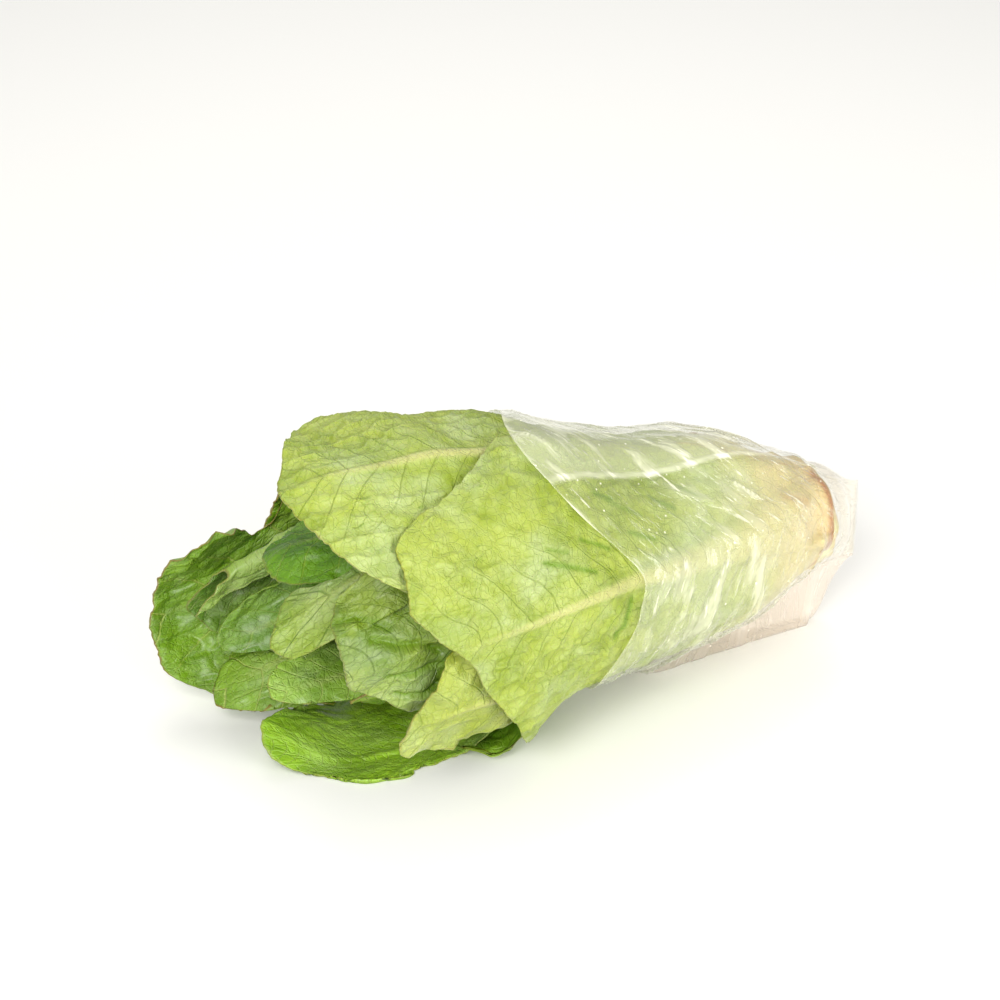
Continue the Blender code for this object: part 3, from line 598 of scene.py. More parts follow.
# Line is 1 on a net of fine veins, a warped cell pattern on the leaf's own map; Size is a cell in centimetres
def leafNetGroup():
    tree, given, out = startGroup("leafNet", {"Size": 0.6, "Width": 0.05, "Warp": 0.25, "Long": 1.0}, ["Line"])
    flat = addNode(tree, "UVMap", uv_map="leafMap").outputs[0]
    drawn = addNode(tree, "CombineXYZ", {0: 1.0, 1: calc(tree, "DIVIDE", 1.0, given["Long"]), 2: 1.0}).outputs[0]
    place = addNode(tree, "VectorMath", {0: flat, 1: drawn}, operation="MULTIPLY").outputs[0]
    wobble = addNode(tree, "TexNoise", {"Vector": place, "Scale": 1.6, "Detail": 3.0}).outputs["Color"]
    centred = addNode(tree, "VectorMath", {0: wobble, 1: (0.5, 0.5, 0.5)}, operation="SUBTRACT").outputs[0]
    push = addNode(tree, "VectorMath", {0: centred, "Scale": given["Warp"]}, operation="SCALE").outputs[0]
    moved = addNode(tree, "VectorMath", {0: place, 1: push}, operation="ADD").outputs[0]
    scale = calc(tree, "DIVIDE", 1.0, given["Size"])
    web = addNode(tree, "TexVoronoi", {"Vector": moved, "Scale": scale}, feature="DISTANCE_TO_EDGE").outputs["Distance"]
    line = addNode(tree, "MapRange", {"Value": web, "From Min": 0.0, "From Max": given["Width"], "To Min": 1.0, "To Max": 0.0},
                   interpolation_type="SMOOTHSTEP").outputs["Result"]
    tree.links.new(line, out["Line"])
    return tree


# Line is 1 on the side veins: each whole step and a half of the vein map's first number, fading to the margin
def sideVeinGroup():
    tree, given, out = startGroup("sideVeins", {"Width": 0.05}, ["Line"])
    place = addNode(tree, "UVMap", uv_map="veinMap").outputs[0]
    parts = addNode(tree, "SeparateXYZ", {0: place}).outputs
    ripple = calc(tree, "MULTIPLY", noise(tree, place, 3.0, 3.0), 0.10)
    phase = calc(tree, "FRACT", calc(tree, "ADD", parts[0], calc(tree, "SUBTRACT", ripple, 0.05)))
    away = calc(tree, "ABSOLUTE", calc(tree, "SUBTRACT", phase, 0.5))
    line = addNode(tree, "MapRange", {"Value": away, "From Min": 0.0, "From Max": given["Width"], "To Min": 1.0, "To Max": 0.0},
                   interpolation_type="SMOOTHSTEP").outputs["Result"]
    fade = stepped(tree, parts[1], 4.6, 0.6)
    tree.links.new(calc(tree, "MULTIPLY", line, fade), out["Line"])
    return tree


# Mask is 1 in cloudy patches; Size is a patch in centimetres
def patchGroup():
    tree, given, out = startGroup("patches", {"Size": 2.0, "Low": 0.4, "High": 0.65}, ["Mask"])
    place = addNode(tree, "UVMap", uv_map="leafMap").outputs[0]
    scale = calc(tree, "DIVIDE", 1.0, given["Size"])
    cloud = noise(tree, place, scale, 4.0, 0.6)
    tree.links.new(stepped(tree, cloud, given["Low"], given["High"]), out["Mask"])
    return tree


# Mask is 1 at the margin, in a band that Width centimetres and a cloud make uneven
def marginGroup():
    tree, given, out = startGroup("marginWear", {"Width": 0.2}, ["Mask"])
    place = addNode(tree, "UVMap", uv_map="leafMap").outputs[0]
    uneven = calc(tree, "MULTIPLY", noise(tree, place, 1.4, 3.0), given["Width"])
    band = calc(tree, "SUBTRACT", calc(tree, "MULTIPLY", uneven, 2.0), mark(tree, "edge"))
    tree.links.new(stepped(tree, band, -0.02, 0.08), out["Mask"])
    return tree


# Mask is 1 along thin fibres that run with the leaf, Length and Width in centimetres
def fibreGroup():
    tree, given, out = startGroup("fibres", {"Length": 1.5, "Width": 0.1}, ["Mask"])
    place = addNode(tree, "UVMap", uv_map="leafMap").outputs[0]
    drawn = addNode(tree, "CombineXYZ", {0: given["Width"], 1: given["Length"], 2: 1.0}).outputs[0]
    scaled = addNode(tree, "VectorMath", {0: place, 1: drawn}, operation="DIVIDE").outputs[0]
    tree.links.new(stepped(tree, noise(tree, scaled, 1.0, 2.0), 0.52, 0.68), out["Mask"])
    return tree


groups = dict(net=leafNetGroup(), side=sideVeinGroup(), patches=patchGroup(), margin=marginGroup(), fibres=fibreGroup())


def grouped(tree, name, values):
    made = tree.nodes.new("ShaderNodeGroup")
    made.node_tree = groups[name]
    for title, value in values.items():
        made.inputs[title].default_value = value
    return made.outputs[0]


# each finish also sets how much milky painted sheen its leaf takes
leafFinishes = dict(
    outerLeaf=dict(slot="outer_leaf", blade=(0.34, 0.41, 0.060), bladeDeep=(0.235, 0.31, 0.022), under=(0.13, 0.22, 0.010),
                   vein=(0.17, 0.24, 0.02), net=(0.20, 0.29, 0.025), rib=(0.45, 0.46, 0.16), rough=0.44, gloss=0.15,
                   brown=0.30, netShow=0.34, netSize=1.0, veinShow=0.50, paintedSheen=0.65, fine=0.14, streaks=0.75, relief=0.0011),
    paleLeaf=dict(slot="pale_leaf", blade=(0.22, 0.31, 0.028), bladeDeep=(0.12, 0.205, 0.012), under=(0.08, 0.18, 0.007),
                  vein=(0.09, 0.16, 0.01), net=(0.08, 0.14, 0.008), rib=(0.29, 0.34, 0.08), rough=0.40, gloss=0.25,
                  brown=0.25, netShow=0.35, netSize=1.5, veinShow=0.6, paintedSheen=0.45, fine=0.12, streaks=0.35, relief=0.0015),
    sideLeaf=dict(slot="pale_leaf", blade=(0.36, 0.42, 0.055), bladeDeep=(0.26, 0.32, 0.026), under=(0.14, 0.25, 0.012),
                  vein=(0.20, 0.28, 0.03), net=(0.20, 0.28, 0.03), rib=(0.45, 0.46, 0.15), rough=0.42, gloss=0.2,
                  brown=0.3, netShow=0.4, netSize=1.1, veinShow=0.5, paintedSheen=0.5, fine=0.12, streaks=0.35, relief=0.0012),
    innerLeaf=dict(slot="inner_leaf", blade=(0.25, 0.41, 0.018), bladeDeep=(0.13, 0.25, 0.006), under=(0.19, 0.34, 0.012),
                   vein=(0.38, 0.46, 0.10), net=(0.36, 0.45, 0.10), rib=(0.36, 0.43, 0.11), rough=0.36, gloss=0.45,
                   brown=0.8, netShow=0.30, netSize=2.3, veinShow=0.75, paintedSheen=0.2, fine=0.10, streaks=0.3, relief=0.0018),
    # a copy of the inner leaf's colours, brightened for a leaf that lies in shade: painted light
    brightenedLobeLeaf=dict(slot="inner_leaf", blade=(0.31, 0.50, 0.045), bladeDeep=(0.18, 0.34, 0.016), under=(0.29, 0.49, 0.04),
                  vein=(0.42, 0.52, 0.14), net=(0.36, 0.48, 0.11), rib=(0.38, 0.46, 0.13), rough=0.36, gloss=0.45,
                  brown=0.5, netShow=0.25, netSize=1.3, veinShow=0.6, paintedSheen=0.3, fine=0.10, streaks=0.3, relief=0.0018),
    floorLeaf=dict(slot="inner_leaf", blade=(0.27, 0.46, 0.022), bladeDeep=(0.17, 0.32, 0.009), under=(0.26, 0.46, 0.018),
                   vein=(0.34, 0.44, 0.11), net=(0.27, 0.36, 0.07), rib=(0.30, 0.38, 0.09), rough=0.38, gloss=0.40,
                   brown=0.35, netShow=0.12, netSize=1.6, veinShow=0.60, paintedSheen=0.2, fine=0.08, streaks=0.5, relief=0.0014),
    foldedLeaf=dict(slot="inner_leaf", blade=(0.25, 0.38, 0.06), bladeDeep=(0.16, 0.28, 0.03), under=(0.09, 0.20, 0.007),
                    vein=(0.36, 0.44, 0.14), net=(0.22, 0.32, 0.05), rib=(0.36, 0.42, 0.15), rough=0.38, gloss=0.4,
                    brown=0.4, netShow=0.3, netSize=1.8, veinShow=0.5, paintedSheen=0.2, fine=0.10, streaks=0.3, relief=0.0016),
    darkLeaf=dict(slot="inner_leaf", blade=(0.12, 0.27, 0.003), bladeDeep=(0.06, 0.16, 0.001), under=(0.10, 0.23, 0.002),
                  vein=(0.26, 0.38, 0.04), net=(0.20, 0.31, 0.02), rib=(0.32, 0.40, 0.08), rough=0.40, gloss=0.25,
                  brown=0.3, netShow=0.3, netSize=1.8, veinShow=0.6, paintedSheen=0.0, fine=0.08, streaks=0.3, relief=0.0018),
    youngLeaf=dict(slot="inner_leaf", blade=(0.17, 0.32, 0.010), bladeDeep=(0.10, 0.22, 0.006), under=(0.14, 0.28, 0.006),
                   vein=(0.27, 0.39, 0.06), net=(0.25, 0.36, 0.05), rib=(0.33, 0.41, 0.10), rough=0.36, gloss=0.45,
                   brown=0.15, netShow=0.2, netSize=1.6, veinShow=0.5, paintedSheen=0.15, fine=0.08, streaks=0.2, relief=0.0015),
    heartLeaf=dict(slot="heart_leaf", blade=(0.42, 0.46, 0.14), bladeDeep=(0.33, 0.40, 0.09), under=(0.40, 0.44, 0.13),
                   vein=(0.50, 0.51, 0.24), net=(0.27, 0.35, 0.06), rib=(0.55, 0.54, 0.30), rough=0.42, gloss=0.3,
                   brown=0.2, netShow=0.3, netSize=1.2, veinShow=0.4, paintedSheen=0.2, fine=0.05, streaks=0.2, relief=0.0006),
)
# the milky colour is the colour of the painted sheen
shared = dict(cream=(0.68, 0.55, 0.27), pink=(0.56, 0.29, 0.12), brown=(0.22, 0.11, 0.02), milky=(0.47, 0.55, 0.30),
              # next, the dark green of the drawn crease lines: painted shade
              creaseShade=(0.13, 0.24, 0.004), stain=(0.36, 0.13, 0.035))


# a leaf's skin: cloudy blade, painted milky sheen in patches, vein net, side veins and midrib, painted shade along the
# drawn crease lines, cream towards the cut, brown at the margin
def leafMaterial(name, finish):
    material = bpy.data.materials.new(name)
    material.use_nodes = True
    tree = material.node_tree
    shader = tree.nodes["Principled BSDF"]
    outside = mark(tree, "outside")
    clouds = grouped(tree, "patches", dict(Size=2.6, Low=0.38, High=0.64))
    fineClouds = grouped(tree, "patches", dict(Size=0.7, Low=0.35, High=0.7))
    net = grouped(tree, "net", dict(Size=finish["netSize"], Width=0.022, Warp=0.45, Long=1.8))
    net = calc(tree, "MULTIPLY", net, grouped(tree, "patches", dict(Size=1.6, Low=0.46, High=0.62)))
    fineNet = grouped(tree, "net", dict(Size=0.34, Width=0.09, Warp=0.3))
    side = grouped(tree, "side", dict(Width=0.045))
    wear = grouped(tree, "margin", dict(Width=0.07))
    blade = mixed(tree, clouds, rgba(finish["blade"]), rgba(finish["bladeDeep"]))
    blade = mixed(tree, outside, mixed(tree, clouds, rgba(finish["under"]), rgba(finish["bladeDeep"])), blade)
    # painted sheen: milky patches at two scales that stand in for the leaves' soft whitish gloss
    broadClouds = grouped(tree, "patches", dict(Size=5.5, Low=0.46, High=0.66))
    paintedSheen = calc(tree, "ADD", calc(tree, "MULTIPLY", fineClouds, 0.25), calc(tree, "MULTIPLY", broadClouds, 0.75))
    blade = mixed(tree, calc(tree, "MULTIPLY", paintedSheen, finish["paintedSheen"]), blade, rgba(shared["milky"]))
    blade = mixed(tree, calc(tree, "MULTIPLY", fineNet, finish["fine"]), blade, rgba(finish["net"]))
    fibres = grouped(tree, "fibres", dict(Length=1.5, Width=0.07))
    strokes = calc(tree, "MULTIPLY", grouped(tree, "fibres", dict(Length=1.1, Width=0.22)),
                   grouped(tree, "patches", dict(Size=1.6, Low=0.56, High=0.68)))
    shade = calc(tree, "ADD", calc(tree, "MULTIPLY", fibres, finish["streaks"] * 0.16), calc(tree, "MULTIPLY", strokes, finish["streaks"]))
    blade = mixed(tree, shade, blade, rgba(finish["under"]))
    blade = mixed(tree, calc(tree, "MULTIPLY", net, finish["netShow"]), blade, rgba(finish["net"]))
    blade = mixed(tree, calc(tree, "MULTIPLY", side, finish["veinShow"]), blade, rgba(finish["vein"]))
    # the drawn crease lines darkened: painted shade in the creases
    blade = mixed(tree, mark(tree, "creaseShade"), blade, rgba(shared["creaseShade"]))
    blade = mixed(tree, mark(tree, "rib"), blade, rgba(finish["rib"]))
    fromCut = mark(tree, "fromCut")
    place = addNode(tree, "UVMap", uv_map="leafMap").outputs[0]
    uneven = calc(tree, "ADD", fromCut, calc(tree, "MULTIPLY", calc(tree, "SUBTRACT", noise(tree, place, 0.5, 3.0), 0.5), 0.5))
    blade = mixed(tree, stepped(tree, uneven, 0.80, 0.05), blade, rgba(shared["cream"]))
    atEdge = calc(tree, "ADD", stepped(tree, mark(tree, "edge"), 0.42, 0.0), stepped(tree, uneven, 0.16, 0.0), clamp=True)
    blush = calc(tree, "MULTIPLY", calc(tree, "MULTIPLY", atEdge, stepped(tree, uneven, 0.95, 0.25)),
                 stepped(tree, noise(tree, place, 0.9, 4.0), 0.38, 0.60))
    blade = mixed(tree, calc(tree, "MULTIPLY", blush, 0.75), blade, rgba(shared["pink"]))
    blade = mixed(tree, calc(tree, "MULTIPLY", wear, finish["brown"]), blade, rgba(shared["brown"]))
    stained = calc(tree, "ADD", mark(tree, "stain"), calc(tree, "MULTIPLY", stepped(tree, uneven, 0.10, -0.06), 0.5), clamp=True)
    blade = mixed(tree, stained, blade, rgba(shared["stain"]))
    tree.links.new(blade, shader.inputs["Base Color"])
    grain = noise(tree, place, 9.0, 4.0, 0.65)
    rough = calc(tree, "ADD", finish["rough"] - 0.1, calc(tree, "MULTIPLY", grain, 0.22))
    tree.links.new(rough, shader.inputs["Roughness"])
    height = calc(tree, "MULTIPLY", grain, 0.35)
    height = calc(tree, "SUBTRACT", height, calc(tree, "MULTIPLY", side, 0.7))
    height = calc(tree, "ADD", height, calc(tree, "MULTIPLY", noise(tree, place, 2.2, 2.0), 1.6))
    height = calc(tree, "SUBTRACT", height, calc(tree, "MULTIPLY", net, 0.55))
    height = calc(tree, "SUBTRACT", height, calc(tree, "MULTIPLY", fineNet, 0.3))
    height = calc(tree, "ADD", height, calc(tree, "MULTIPLY", fineClouds, 0.5))
    bump = addNode(tree, "Bump", {"Height": height, "Strength": 0.6, "Distance": finish["relief"]})
    tree.links.new(bump.outputs[0], shader.inputs["Normal"])
    shader.inputs["Coat Weight"].default_value = finish["gloss"]
    shader.inputs["Coat Roughness"].default_value = 0.30
    shader.inputs["Specular IOR Level"].default_value = 0.35
    shader.inputs["Subsurface Weight"].default_value = 0.18
    shader.inputs["Subsurface Radius"].default_value = (0.6, 1.0, 0.15)
    shader.inputs["Subsurface Scale"].default_value = 0.003
    return material


materials = {name: leafMaterial(name, finish) for name, finish in leafFinishes.items()}
print("materials made")

beneath = np.broadcast_to(stemRadiusAt(sGrid), sGrid.shape).copy()
for one in leaves:
    inner, outer, marks, maps, beneath = leafFaces(one, beneath)
    piece = slabPiece(one["name"] + "_skin", inner, outer, marks, maps)
    piece.data.materials.append(materials[one["finish"]])
    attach(piece, "root")
    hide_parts(one["name"])
print("leaves laid")

stem = dict(rings=60, lines=120, cutEdge=1.4)


# the stem: rings of the tapering radius, softly ribbed, closed by a slightly dished cut face and a blunt tip
def stemSurface():
    t = np.linspace(0, 1, stem["rings"]) ** 1.3
    face = np.linspace(0.02, 1, 24)[:-1]
    phi = np.linspace(0, 360, stem["lines"], endpoint=False)
    s = np.concatenate([0 * face, t * (head["stemLength"] - 3)])
    rib = 1 + 0.03 * np.sin(np.radians(phi * 9)) + 0.02 * np.sin(np.radians(phi * 5 + 40))
    radius = stemRadiusAt(np.maximum(s, 0.0)) - stem["cutEdge"] * (1 - ease(s / 1.2))
    radius[:len(face)] = face * radius[len(face)]
    sAll, phiAll = np.meshgrid(s, phi, indexing="ij")
    dished = 0.5 * (1 - (radius / radius.max()) ** 2)[:, None] * (sAll <= 0)
    dished = dished + 0.12 * bumps(radius[:, None] * np.cos(np.radians(phiAll)), radius[:, None] * np.sin(np.radians(phiAll)), 5, 3) * (sAll <= 0)
    r = radius[:, None] * np.where(sAll > 0, rib, 1 + (rib - 1) * (radius / radius.max())[:, None])
    points = toSpace(sAll + np.abs(dished), phiAll, r, 0.0)
    return points, radius


def stemPiece():
    points, radius = stemSurface()
    rows, columns = points.shape[:2]
    index = np.arange(rows * columns).reshape(rows, columns)
    looped = np.concatenate([index, index[:, :1]], axis=1)
    both = points.reshape(-1, 3)
    ends = np.stack([points[0].mean(axis=0), points[-1].mean(axis=0) + (-1.5, 0, 0)])
    facets = [gridFacets(looped, True)]
    for line, pole, turned in ((looped[0], rows * columns, False), (looped[-1], rows * columns + 1, True)):
        pairs = np.stack([line[:-1:2], line[1::2], line[2::2], np.full(columns // 2, pole)], axis=1)
        facets.append(pairs[:, ::-1] if not turned else pairs)
    return meshPiece("cut_stem_skin", np.concatenate([both, ends]), np.concatenate(facets))


stemFinish = dict(flesh=(0.80, 0.72, 0.40), ring=(0.70, 0.74, 0.34), brown=(0.40, 0.17, 0.05), rough=0.5)


# the cut stem: pale flesh with a ring of bundles, browned unevenly at the cut and its rim
def stemMaterial():
    material = bpy.data.materials.new("stemFlesh")
    material.use_nodes = True
    tree = material.node_tree
    shader = tree.nodes["Principled BSDF"]
    place = addNode(tree, "TexCoord").outputs["Object"]
    cloud = noise(tree, place, 120.0, 5.0, 0.65)
    flesh = mixed(tree, stepped(tree, cloud, 0.4, 0.65), rgba(stemFinish["flesh"]), rgba(stemFinish["ring"]))
    x = addNode(tree, "SeparateXYZ", {0: place}).outputs[0]
    atCut = stepped(tree, calc(tree, "ADD", x, calc(tree, "MULTIPLY", noise(tree, place, 260.0, 4.0), 0.004)),
                    (cutX - 2.0) * mm, (cutX + 3.0) * mm)
    colour = mixed(tree, calc(tree, "MULTIPLY", atCut, 0.7), flesh, rgba(stemFinish["brown"]))
    tree.links.new(colour, shader.inputs["Base Color"])
    tree.links.new(calc(tree, "ADD", calc(tree, "MULTIPLY", cloud, 0.3), stemFinish["rough"] - 0.15), shader.inputs["Roughness"])
    bump = addNode(tree, "Bump", {"Height": cloud, "Strength": 0.5, "Distance": 0.0006})
    tree.links.new(bump.outputs[0], shader.inputs["Normal"])
    return material


stemBody = stemPiece()
stemBody.data.materials.append(stemMaterial())
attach(stemBody, "root")
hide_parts("cut_stem")
print("stem made")

film = dict(
    thick=0.25, gap=0.7, sag=6.2, sagFade=12.0, tail=22.0, tailHeight=18.0, tailHalf=0.7, tailDrop=8.0,
    keelHalfAngle=10.0, keelEnd=105.0, rows=120, lines=330, seamPhi=58.0, seamTurn=0.085, seamWidth=0.85,
    slantSlope=-0.75, sweepSlope=0.25,
    mouth=((-90, 128), (-50, 130), (-21, 132), (-8, 123), (4, 118), (20, 116), (30, 124), (44, 138), (60, 148),
           (74, 153), (85, 150), (103, 142), (180, 138), (270, 128)),
)


# sharp-crested folds: 1 - |sin| to a power, along a slanting count that bumps bend a little
def folds(x, y, slope, size, seed, power=3.0):
    count = (x * math.cos(slope) + y * math.sin(slope) + 0.3 * size * bumps(x, y, size * 7, seed)) / size
    return (1 - np.abs(np.sin(math.pi * count))) ** power


# heights of the loose film once it lies flat on the ground
def sagged(height):
    above = height - film["sag"]
    return np.where(above < 0, 0.0, height - film["sag"] * (1 - ease(above / film["sagFade"])))


# the sleeve as inner and outer rings from its mouth to its closed end, and its crease mark
def filmRings(beneath):
    phiAt = np.linspace(-90, 270, film["lines"], endpoint=False)
    share = np.linspace(1, 0, film["rows"])[:, None]
    s = curveThrough(phiAt, film["mouth"]) * share
    phi = np.broadcast_to(phiAt, s.shape)
    taut = np.maximum(blurLattice(beneath, 14), beneath)
    taut = np.maximum(blurLattice(taut, 6), beneath) + film["gap"]
    r = sampleLattice(taut, s, phi)
    for _ in range(3):
        r = (np.roll(r, 1, 1) + 2 * r + np.roll(r, -1, 1)) / 4
        r[1:-1] = (r[:-2] + 2 * r[1:-1] + r[2:]) / 4
    around = np.radians(phi) * 50.0
    fromSeam = angleFrom(phi, film["seamPhi"] + film["seamTurn"] * (148 - s))
    upper = ease((angleFrom(phi, 0.0) - 14) / 16)
    fade = ease(s / 25) * ease((1 - share) * 140 / 8)
    clearOfSeam = 1 - np.exp(-(fromSeam / 5.0) ** 2)
    slant = folds(s, around, film["slantSlope"], 13.0, 4, 5.0) * upper * clearOfSeam * (0.3 + 0.8 * bumps(s, around, 40, 8)).clip(0, 1)
    sweep = folds(s, around, film["sweepSlope"], 9.0, 6, 5.0) * (1 - upper) * (0.4 + 0.8 * bumps(s, around, 45, 18)).clip(0, 1)
    crinkle = folds(s, around, -0.3, 7.0, 12, 4.0) * (0.2 + 0.7 * bumps(s, around, 26, 28)).clip(0, 1)
    pleat = ease((folds(s, around, film["sweepSlope"], 18.0, 6, 1.0) - 0.50) / 0.10) * (1 - upper)
    pleat = pleat * ease((110 - s) / 25) * ease((s - 25) / 20)
    milky = ease((104 - s) / 30) * ease((70 - np.abs(angleFrom(phi, 10.0))) / 30) * ease((s - 15) / 30)
    seam = np.exp(-(fromSeam / film["seamWidth"]) ** 2) * ease(s / 20)
    lip = np.exp(-((1 - share) * 140 / 1.0) ** 2)
    r = r + (1.5 * slant + 1.5 * sweep + 0.5 * crinkle + 0.9 * pleat) * fade + 0.6 * seam + 0.2 * lip
    r = r + (0.3 * np.abs(bumps(s, around, 30, 2)) + 1.6 * np.exp(-(angleFrom(phi, 100.0) / 40) ** 2)) * fade
    full = 1 - head["flatDepth"] / head["bellyRadius"]
    ground = envelope(s) + curveThrough(s, head["lift"]) / full - 0.6
    away = angleFrom(phi, 270.0) / film["keelHalfAngle"]
    keel = np.exp(-away ** 2) * np.clip((s + 8) / 10, 0.0, 1.0) * ease((film["keelEnd"] - s) / 35)
    stand = np.clip(ground - r, 0.0, None) * keel
    r = r + stand
    turn = np.radians(phiAt)
    middle = toSpace(np.zeros(1), np.zeros(1), np.zeros(1), 0.0)[0]
    both = []
    for depth in (0.0, film["thick"]):
        wrapped = toSpace(s, phi, r + depth * (1 + keel), 0.0)
        rim = wrapped[-1] - middle
        halfThick, halfHigh = film["tailHalf"] + depth, film["tailHeight"] + depth
        crimp = 0.6 * np.sin(8 * turn)
        flat = np.stack([0 * turn, -halfThick * np.cos(turn) + crimp * 0.3,
                         halfHigh * np.sin(turn) - film["tailDrop"]], axis=-1)
        tail = []
        for part in np.linspace(0, 1, 15)[1:]:
            ring = middle + rim + (flat - rim) * ease(part)
            ring[:, 0] = cutX + (film["tail"] + 2 * depth) * part
            tail.append(ring)
        both.append(np.concatenate([wrapped, tail]))
    inside, outside = both
    drop = outside[..., 2] - sagged(outside[..., 2])
    inside[..., 2] -= drop
    outside[..., 2] -= drop
    # the crease mark: painted highlight on the fold crests, the film's own whitening along the seam
    crease = 0.8 * slant ** 2 + 0.8 * sweep ** 2 + 0.3 * crinkle ** 2 + 2.0 * seam + 0.35 * lip
    double = ease((fromSeam - 0.3) / 0.8) * ease((135 - angleFrom(phi, 0)) / 30) * ease((s - 10) / 40)
    cloud = ease((s - 62) / 22) * ease((30 - np.abs(angleFrom(phi, 2.0))) / 10)
    loose = np.clip(ease(stand / 3) + 0.9 * ease((3 - s) / 6), 0, 1)
    marks = dict(crease=crease, double=double, loose=loose, upper=upper, pleat=0.42 * pleat + 0.5 * cloud + 0.55 * milky)
    marks = {mark: np.clip(np.concatenate([field, np.repeat(field[-1:], 14, axis=0)]), 0, 1)
             for mark, field in marks.items()}
    along = np.concatenate([s, np.linspace(0, -film["tail"], 15)[1:, None] + 0 * s[:14]])
    return inside, outside, marks, (along / 10, np.concatenate([around, around[:14]]) / 10)


def filmPiece(beneath):
    inside, outside, marks, (along, around) = filmRings(beneath)
    rows, columns = outside.shape[:2]
    count = rows * columns
    index = np.arange(count).reshape(rows, columns)
    looped = np.concatenate([index, index[:, :1]], axis=1)
    facets = [gridFacets(looped, False), gridFacets(looped + count, True),
              gridFacets(np.stack([looped[0], looped[0] + count]), True)]
    half = columns // 2
    for last, turned in ((index[-1], False), (index[-1] + count, True)):
        pairs = np.stack([last[:half + 1], np.roll(last[::-1], 1)[:half + 1]])[:, 1:-1]
        facets.append(gridFacets(pairs, turned))
    marks = {mark: np.tile(field.ravel(), 2) for mark, field in marks.items()}
    maps = dict(filmMap=np.tile(np.stack([along.ravel(), around.ravel()], axis=1), (2, 1)))
    points = np.concatenate([outside.reshape(-1, 3), inside.reshape(-1, 3)])
    quads = np.concatenate(facets)
    return meshPiece("film_sleeve_skin", points, quads, marks, maps)


filmFinish = dict(tint=(0.90, 0.90, 0.68), looseTint=(0.95, 0.86, 0.76), rough=0.09, haze=0.05, paintedStreakHighlight=0.50,
                  creaseHazeAndHighlight=0.80, veil=0.42, pleatHaze=0.42, looseHaze=0.42, paintedGlints=0.7)


# streaks in the film, long and narrow, on its own map and turned to a slope; their white is painted highlight, and they
# also shape its bump
def filmStreaks(tree, slope, size, low, high):
    flat = addNode(tree, "UVMap", uv_map="filmMap").outputs[0]
    turned = addNode(tree, "Mapping", {"Vector": flat, "Rotation": (0, 0, slope + math.pi / 2), "Scale": size},
                     vector_type="TEXTURE").outputs[0]
    return stepped(tree, noise(tree, turned, 1.0, 3.0, 0.55), low, high)


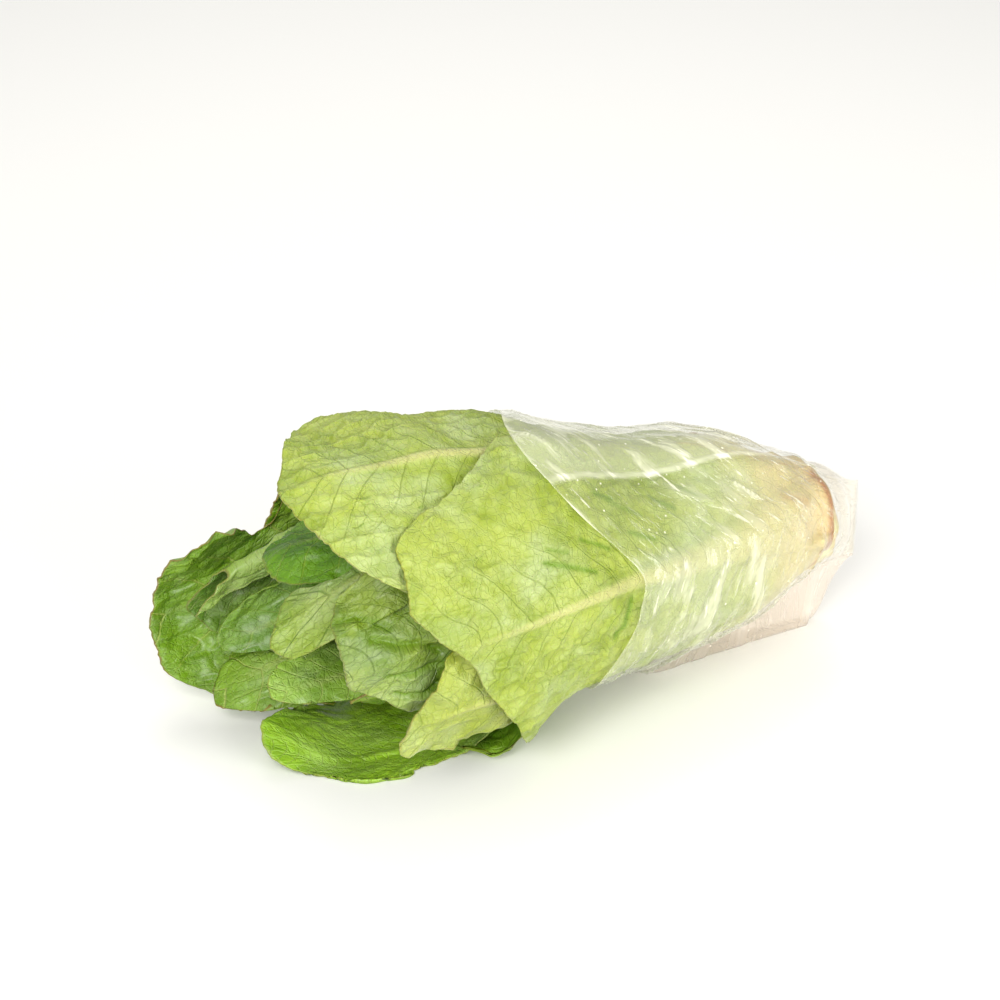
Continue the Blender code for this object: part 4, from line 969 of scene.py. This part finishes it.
# clear film: clear but for its mirror gloss, whitened at its seam and where it lies double, with painted highlight as
# white along its fold crests and streaks and painted glints as white dots
def filmMaterial():
    material = bpy.data.materials.new("clearFilm")
    material.use_nodes = True
    tree = material.node_tree
    white = tree.nodes["Principled BSDF"]
    place = addNode(tree, "TexCoord").outputs["Object"]
    upper = mark(tree, "upper")
    parts = []
    for size, low, high in (((1.5, 0.24, 1.0), 0.60, 0.65), ((2.6, 0.9, 1.0), 0.48, 0.62)):
        slanting = filmStreaks(tree, film["slantSlope"], size, low, high)
        sweeping = filmStreaks(tree, film["sweepSlope"], size, low, high)
        parts.append(addNode(tree, "Mix", {0: upper, 2: sweeping, 3: slanting}).outputs[0])
    fine, broad = parts
    streaks = calc(tree, "MULTIPLY", fine, calc(tree, "ADD", calc(tree, "MULTIPLY", broad, 0.85), 0.15))
    height = calc(tree, "ADD", calc(tree, "MULTIPLY", fine, 0.6), calc(tree, "MULTIPLY", broad, 1.0))
    bump = addNode(tree, "Bump", {"Height": height, "Strength": 0.5, "Distance": 0.0010})
    tree.links.new(bump.outputs[0], white.inputs["Normal"])
    tint = mixed(tree, mark(tree, "loose"), rgba(filmFinish["tint"]), rgba(filmFinish["looseTint"]))
    tree.links.new(tint, white.inputs["Base Color"])
    white.inputs["Roughness"].default_value = 0.35
    passing = mixed(tree, mark(tree, "loose"), rgba((0.99, 0.99, 0.98)), rgba((0.99, 0.97, 0.945)))
    clear = addNode(tree, "BsdfTransparent", {"Color": passing})
    gloss = addNode(tree, "BsdfAnisotropic", {"Color": rgba((1.0, 1.0, 1.0)), "Roughness": filmFinish["rough"],
                                              "Normal": bump.outputs[0]})
    behind = addNode(tree, "NewGeometry").outputs["Backfacing"]
    index = calc(tree, "SUBTRACT", 1.5, calc(tree, "MULTIPLY", behind, 1.5 - 1 / 1.5))
    mirror = addNode(tree, "Fresnel", {"IOR": index, "Normal": bump.outputs[0]}).outputs[0]
    facing = calc(tree, "SUBTRACT", 1.0, behind)
    mirror = calc(tree, "MULTIPLY", mirror, facing)
    sheet = addNode(tree, "MixShader", {0: mirror, 1: clear.outputs[0], 2: gloss.outputs[0]}).outputs[0]
    # white dots from fine cells: painted glints of small drops on the film
    drops = addNode(tree, "TexVoronoi", {"Vector": place, "Scale": 260.0}, feature="F1").outputs
    some = stepped(tree, addNode(tree, "SeparateXYZ", {0: drops["Color"]}).outputs[0], 0.80, 0.82)
    paintedGlints = calc(tree, "MULTIPLY", stepped(tree, drops["Distance"], 0.16, 0.08), some)
    taut = calc(tree, "SUBTRACT", 1.0, calc(tree, "MULTIPLY", mark(tree, "loose"), 0.8))
    # white along the streaks: painted highlight
    haze = calc(tree, "MULTIPLY", calc(tree, "MULTIPLY", streaks, taut), filmFinish["paintedStreakHighlight"])
    # the crease mark's white is painted highlight on the fold crests and the film's own whitening at the seam
    for what, share in (("crease", "creaseHazeAndHighlight"), ("double", "veil"), ("pleat", "pleatHaze"), ("loose", "looseHaze")):
        uneven = calc(tree, "ADD", calc(tree, "MULTIPLY", calc(tree, "MULTIPLY", broad, taut), 0.6), 0.45)
        haze = calc(tree, "ADD", haze, calc(tree, "MULTIPLY", calc(tree, "MULTIPLY", mark(tree, what), uneven), filmFinish[share]))
    haze = calc(tree, "ADD", haze, calc(tree, "MULTIPLY", paintedGlints, filmFinish["paintedGlints"]))
    haze = calc(tree, "MULTIPLY", calc(tree, "ADD", haze, filmFinish["haze"], clamp=True), facing)
    whole = addNode(tree, "MixShader", {0: haze, 1: sheet, 2: white.outputs[0]})
    tree.links.new(whole.outputs[0], tree.nodes["Material Output"].inputs["Surface"])
    return material


sleeve = filmPiece(beneath)
sleeve.data.materials.append(filmMaterial())
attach(sleeve, "root")
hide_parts("film_sleeve")
print("sleeve made")

studio = dict(floorSize=7.0, floorColour=(0.93, 0.925, 0.90), worldStrength=0.5, lens=108.0, distance=1.2,
              azimuth=-28.0, elevation=28.0, aim=(-152.0, -5.0, 55.0), rise=39.0)
lamps = dict(                                      # place in metres, size, watts, colour
    frontLamp=((-0.80, -0.80, 0.85), 0.6, 15.0, (1.0, 0.99, 0.96)),
    backLamp=((0.3, 0.7, 1.2), 0.9, 6.5, (1.0, 0.985, 0.95)),
    sideLamp=((0.35, -1.3, 0.42), 0.9, 13.5, (1.0, 0.99, 0.97)),
)


def makeFloor():
    half = studio["floorSize"] / 2
    mesh = bpy.data.meshes.new("floor_mesh")
    mesh.from_pydata([(-half, -half, 0), (half, -half, 0), (half, half, 0), (-half, half, 0)], [], [(0, 1, 2, 3)])
    floor = bpy.data.objects.new("studio_floor", mesh)
    bpy.context.scene.collection.objects.link(floor)
    material = bpy.data.materials.new("paleFloor")
    material.use_nodes = True
    shader = material.node_tree.nodes["Principled BSDF"]
    shader.inputs["Base Color"].default_value = rgba(studio["floorColour"])
    shader.inputs["Roughness"].default_value = 0.9
    shader.inputs["Specular IOR Level"].default_value = 0.1
    mesh.materials.append(material)


def softLamp(name, place, target, size, power, colour):
    lamp = bpy.data.lights.new(name, "AREA")
    lamp.shape, lamp.size, lamp.energy, lamp.color = "SQUARE", size, power, colour
    holder = bpy.data.objects.new(name, lamp)
    bpy.context.scene.collection.objects.link(holder)
    holder.location = place
    holder.rotation_euler = (target - holder.location).to_track_quat("-Z", "Y").to_euler()
    return holder


def makeCamera():
    a, e = math.radians(studio["azimuth"]), math.radians(studio["elevation"])
    back = np.array([math.sin(a) * math.cos(e), -math.cos(a) * math.cos(e), math.sin(e)])
    up = np.array([-math.sin(a) * math.sin(e), math.cos(a) * math.sin(e), math.cos(e)])
    aim = (np.array(studio["aim"]) + (cutX, axisY, 0.0) + studio["rise"] * up) * mm
    lens = bpy.data.cameras.new("camera")
    lens.lens, lens.sensor_width, lens.clip_start = studio["lens"], 36.0, 0.01
    camera = bpy.data.objects.new("camera", lens)
    bpy.context.scene.collection.objects.link(camera)
    camera.location = aim + back * studio["distance"]
    camera.rotation_euler = (camera.location - type(camera.location)(aim)).to_track_quat("Z", "Y").to_euler()
    bpy.context.scene.camera = camera


def makeWorld():
    world = bpy.data.worlds.new("world")
    world.use_nodes = True
    background = world.node_tree.nodes["Background"]
    background.inputs["Color"].default_value = (1.0, 1.0, 1.0, 1.0)
    background.inputs["Strength"].default_value = studio["worldStrength"]
    bpy.context.scene.world = world


makeFloor()
makeWorld()
middle = (cadLow + cadHigh) / 2
for lampName, (lampPlace, lampSize, watts, lampColour) in lamps.items():
    softLamp(lampName, lampPlace, middle, lampSize, watts, lampColour)
makeCamera()
bpy.context.scene.view_settings.view_transform = "Standard"
print("studio set")
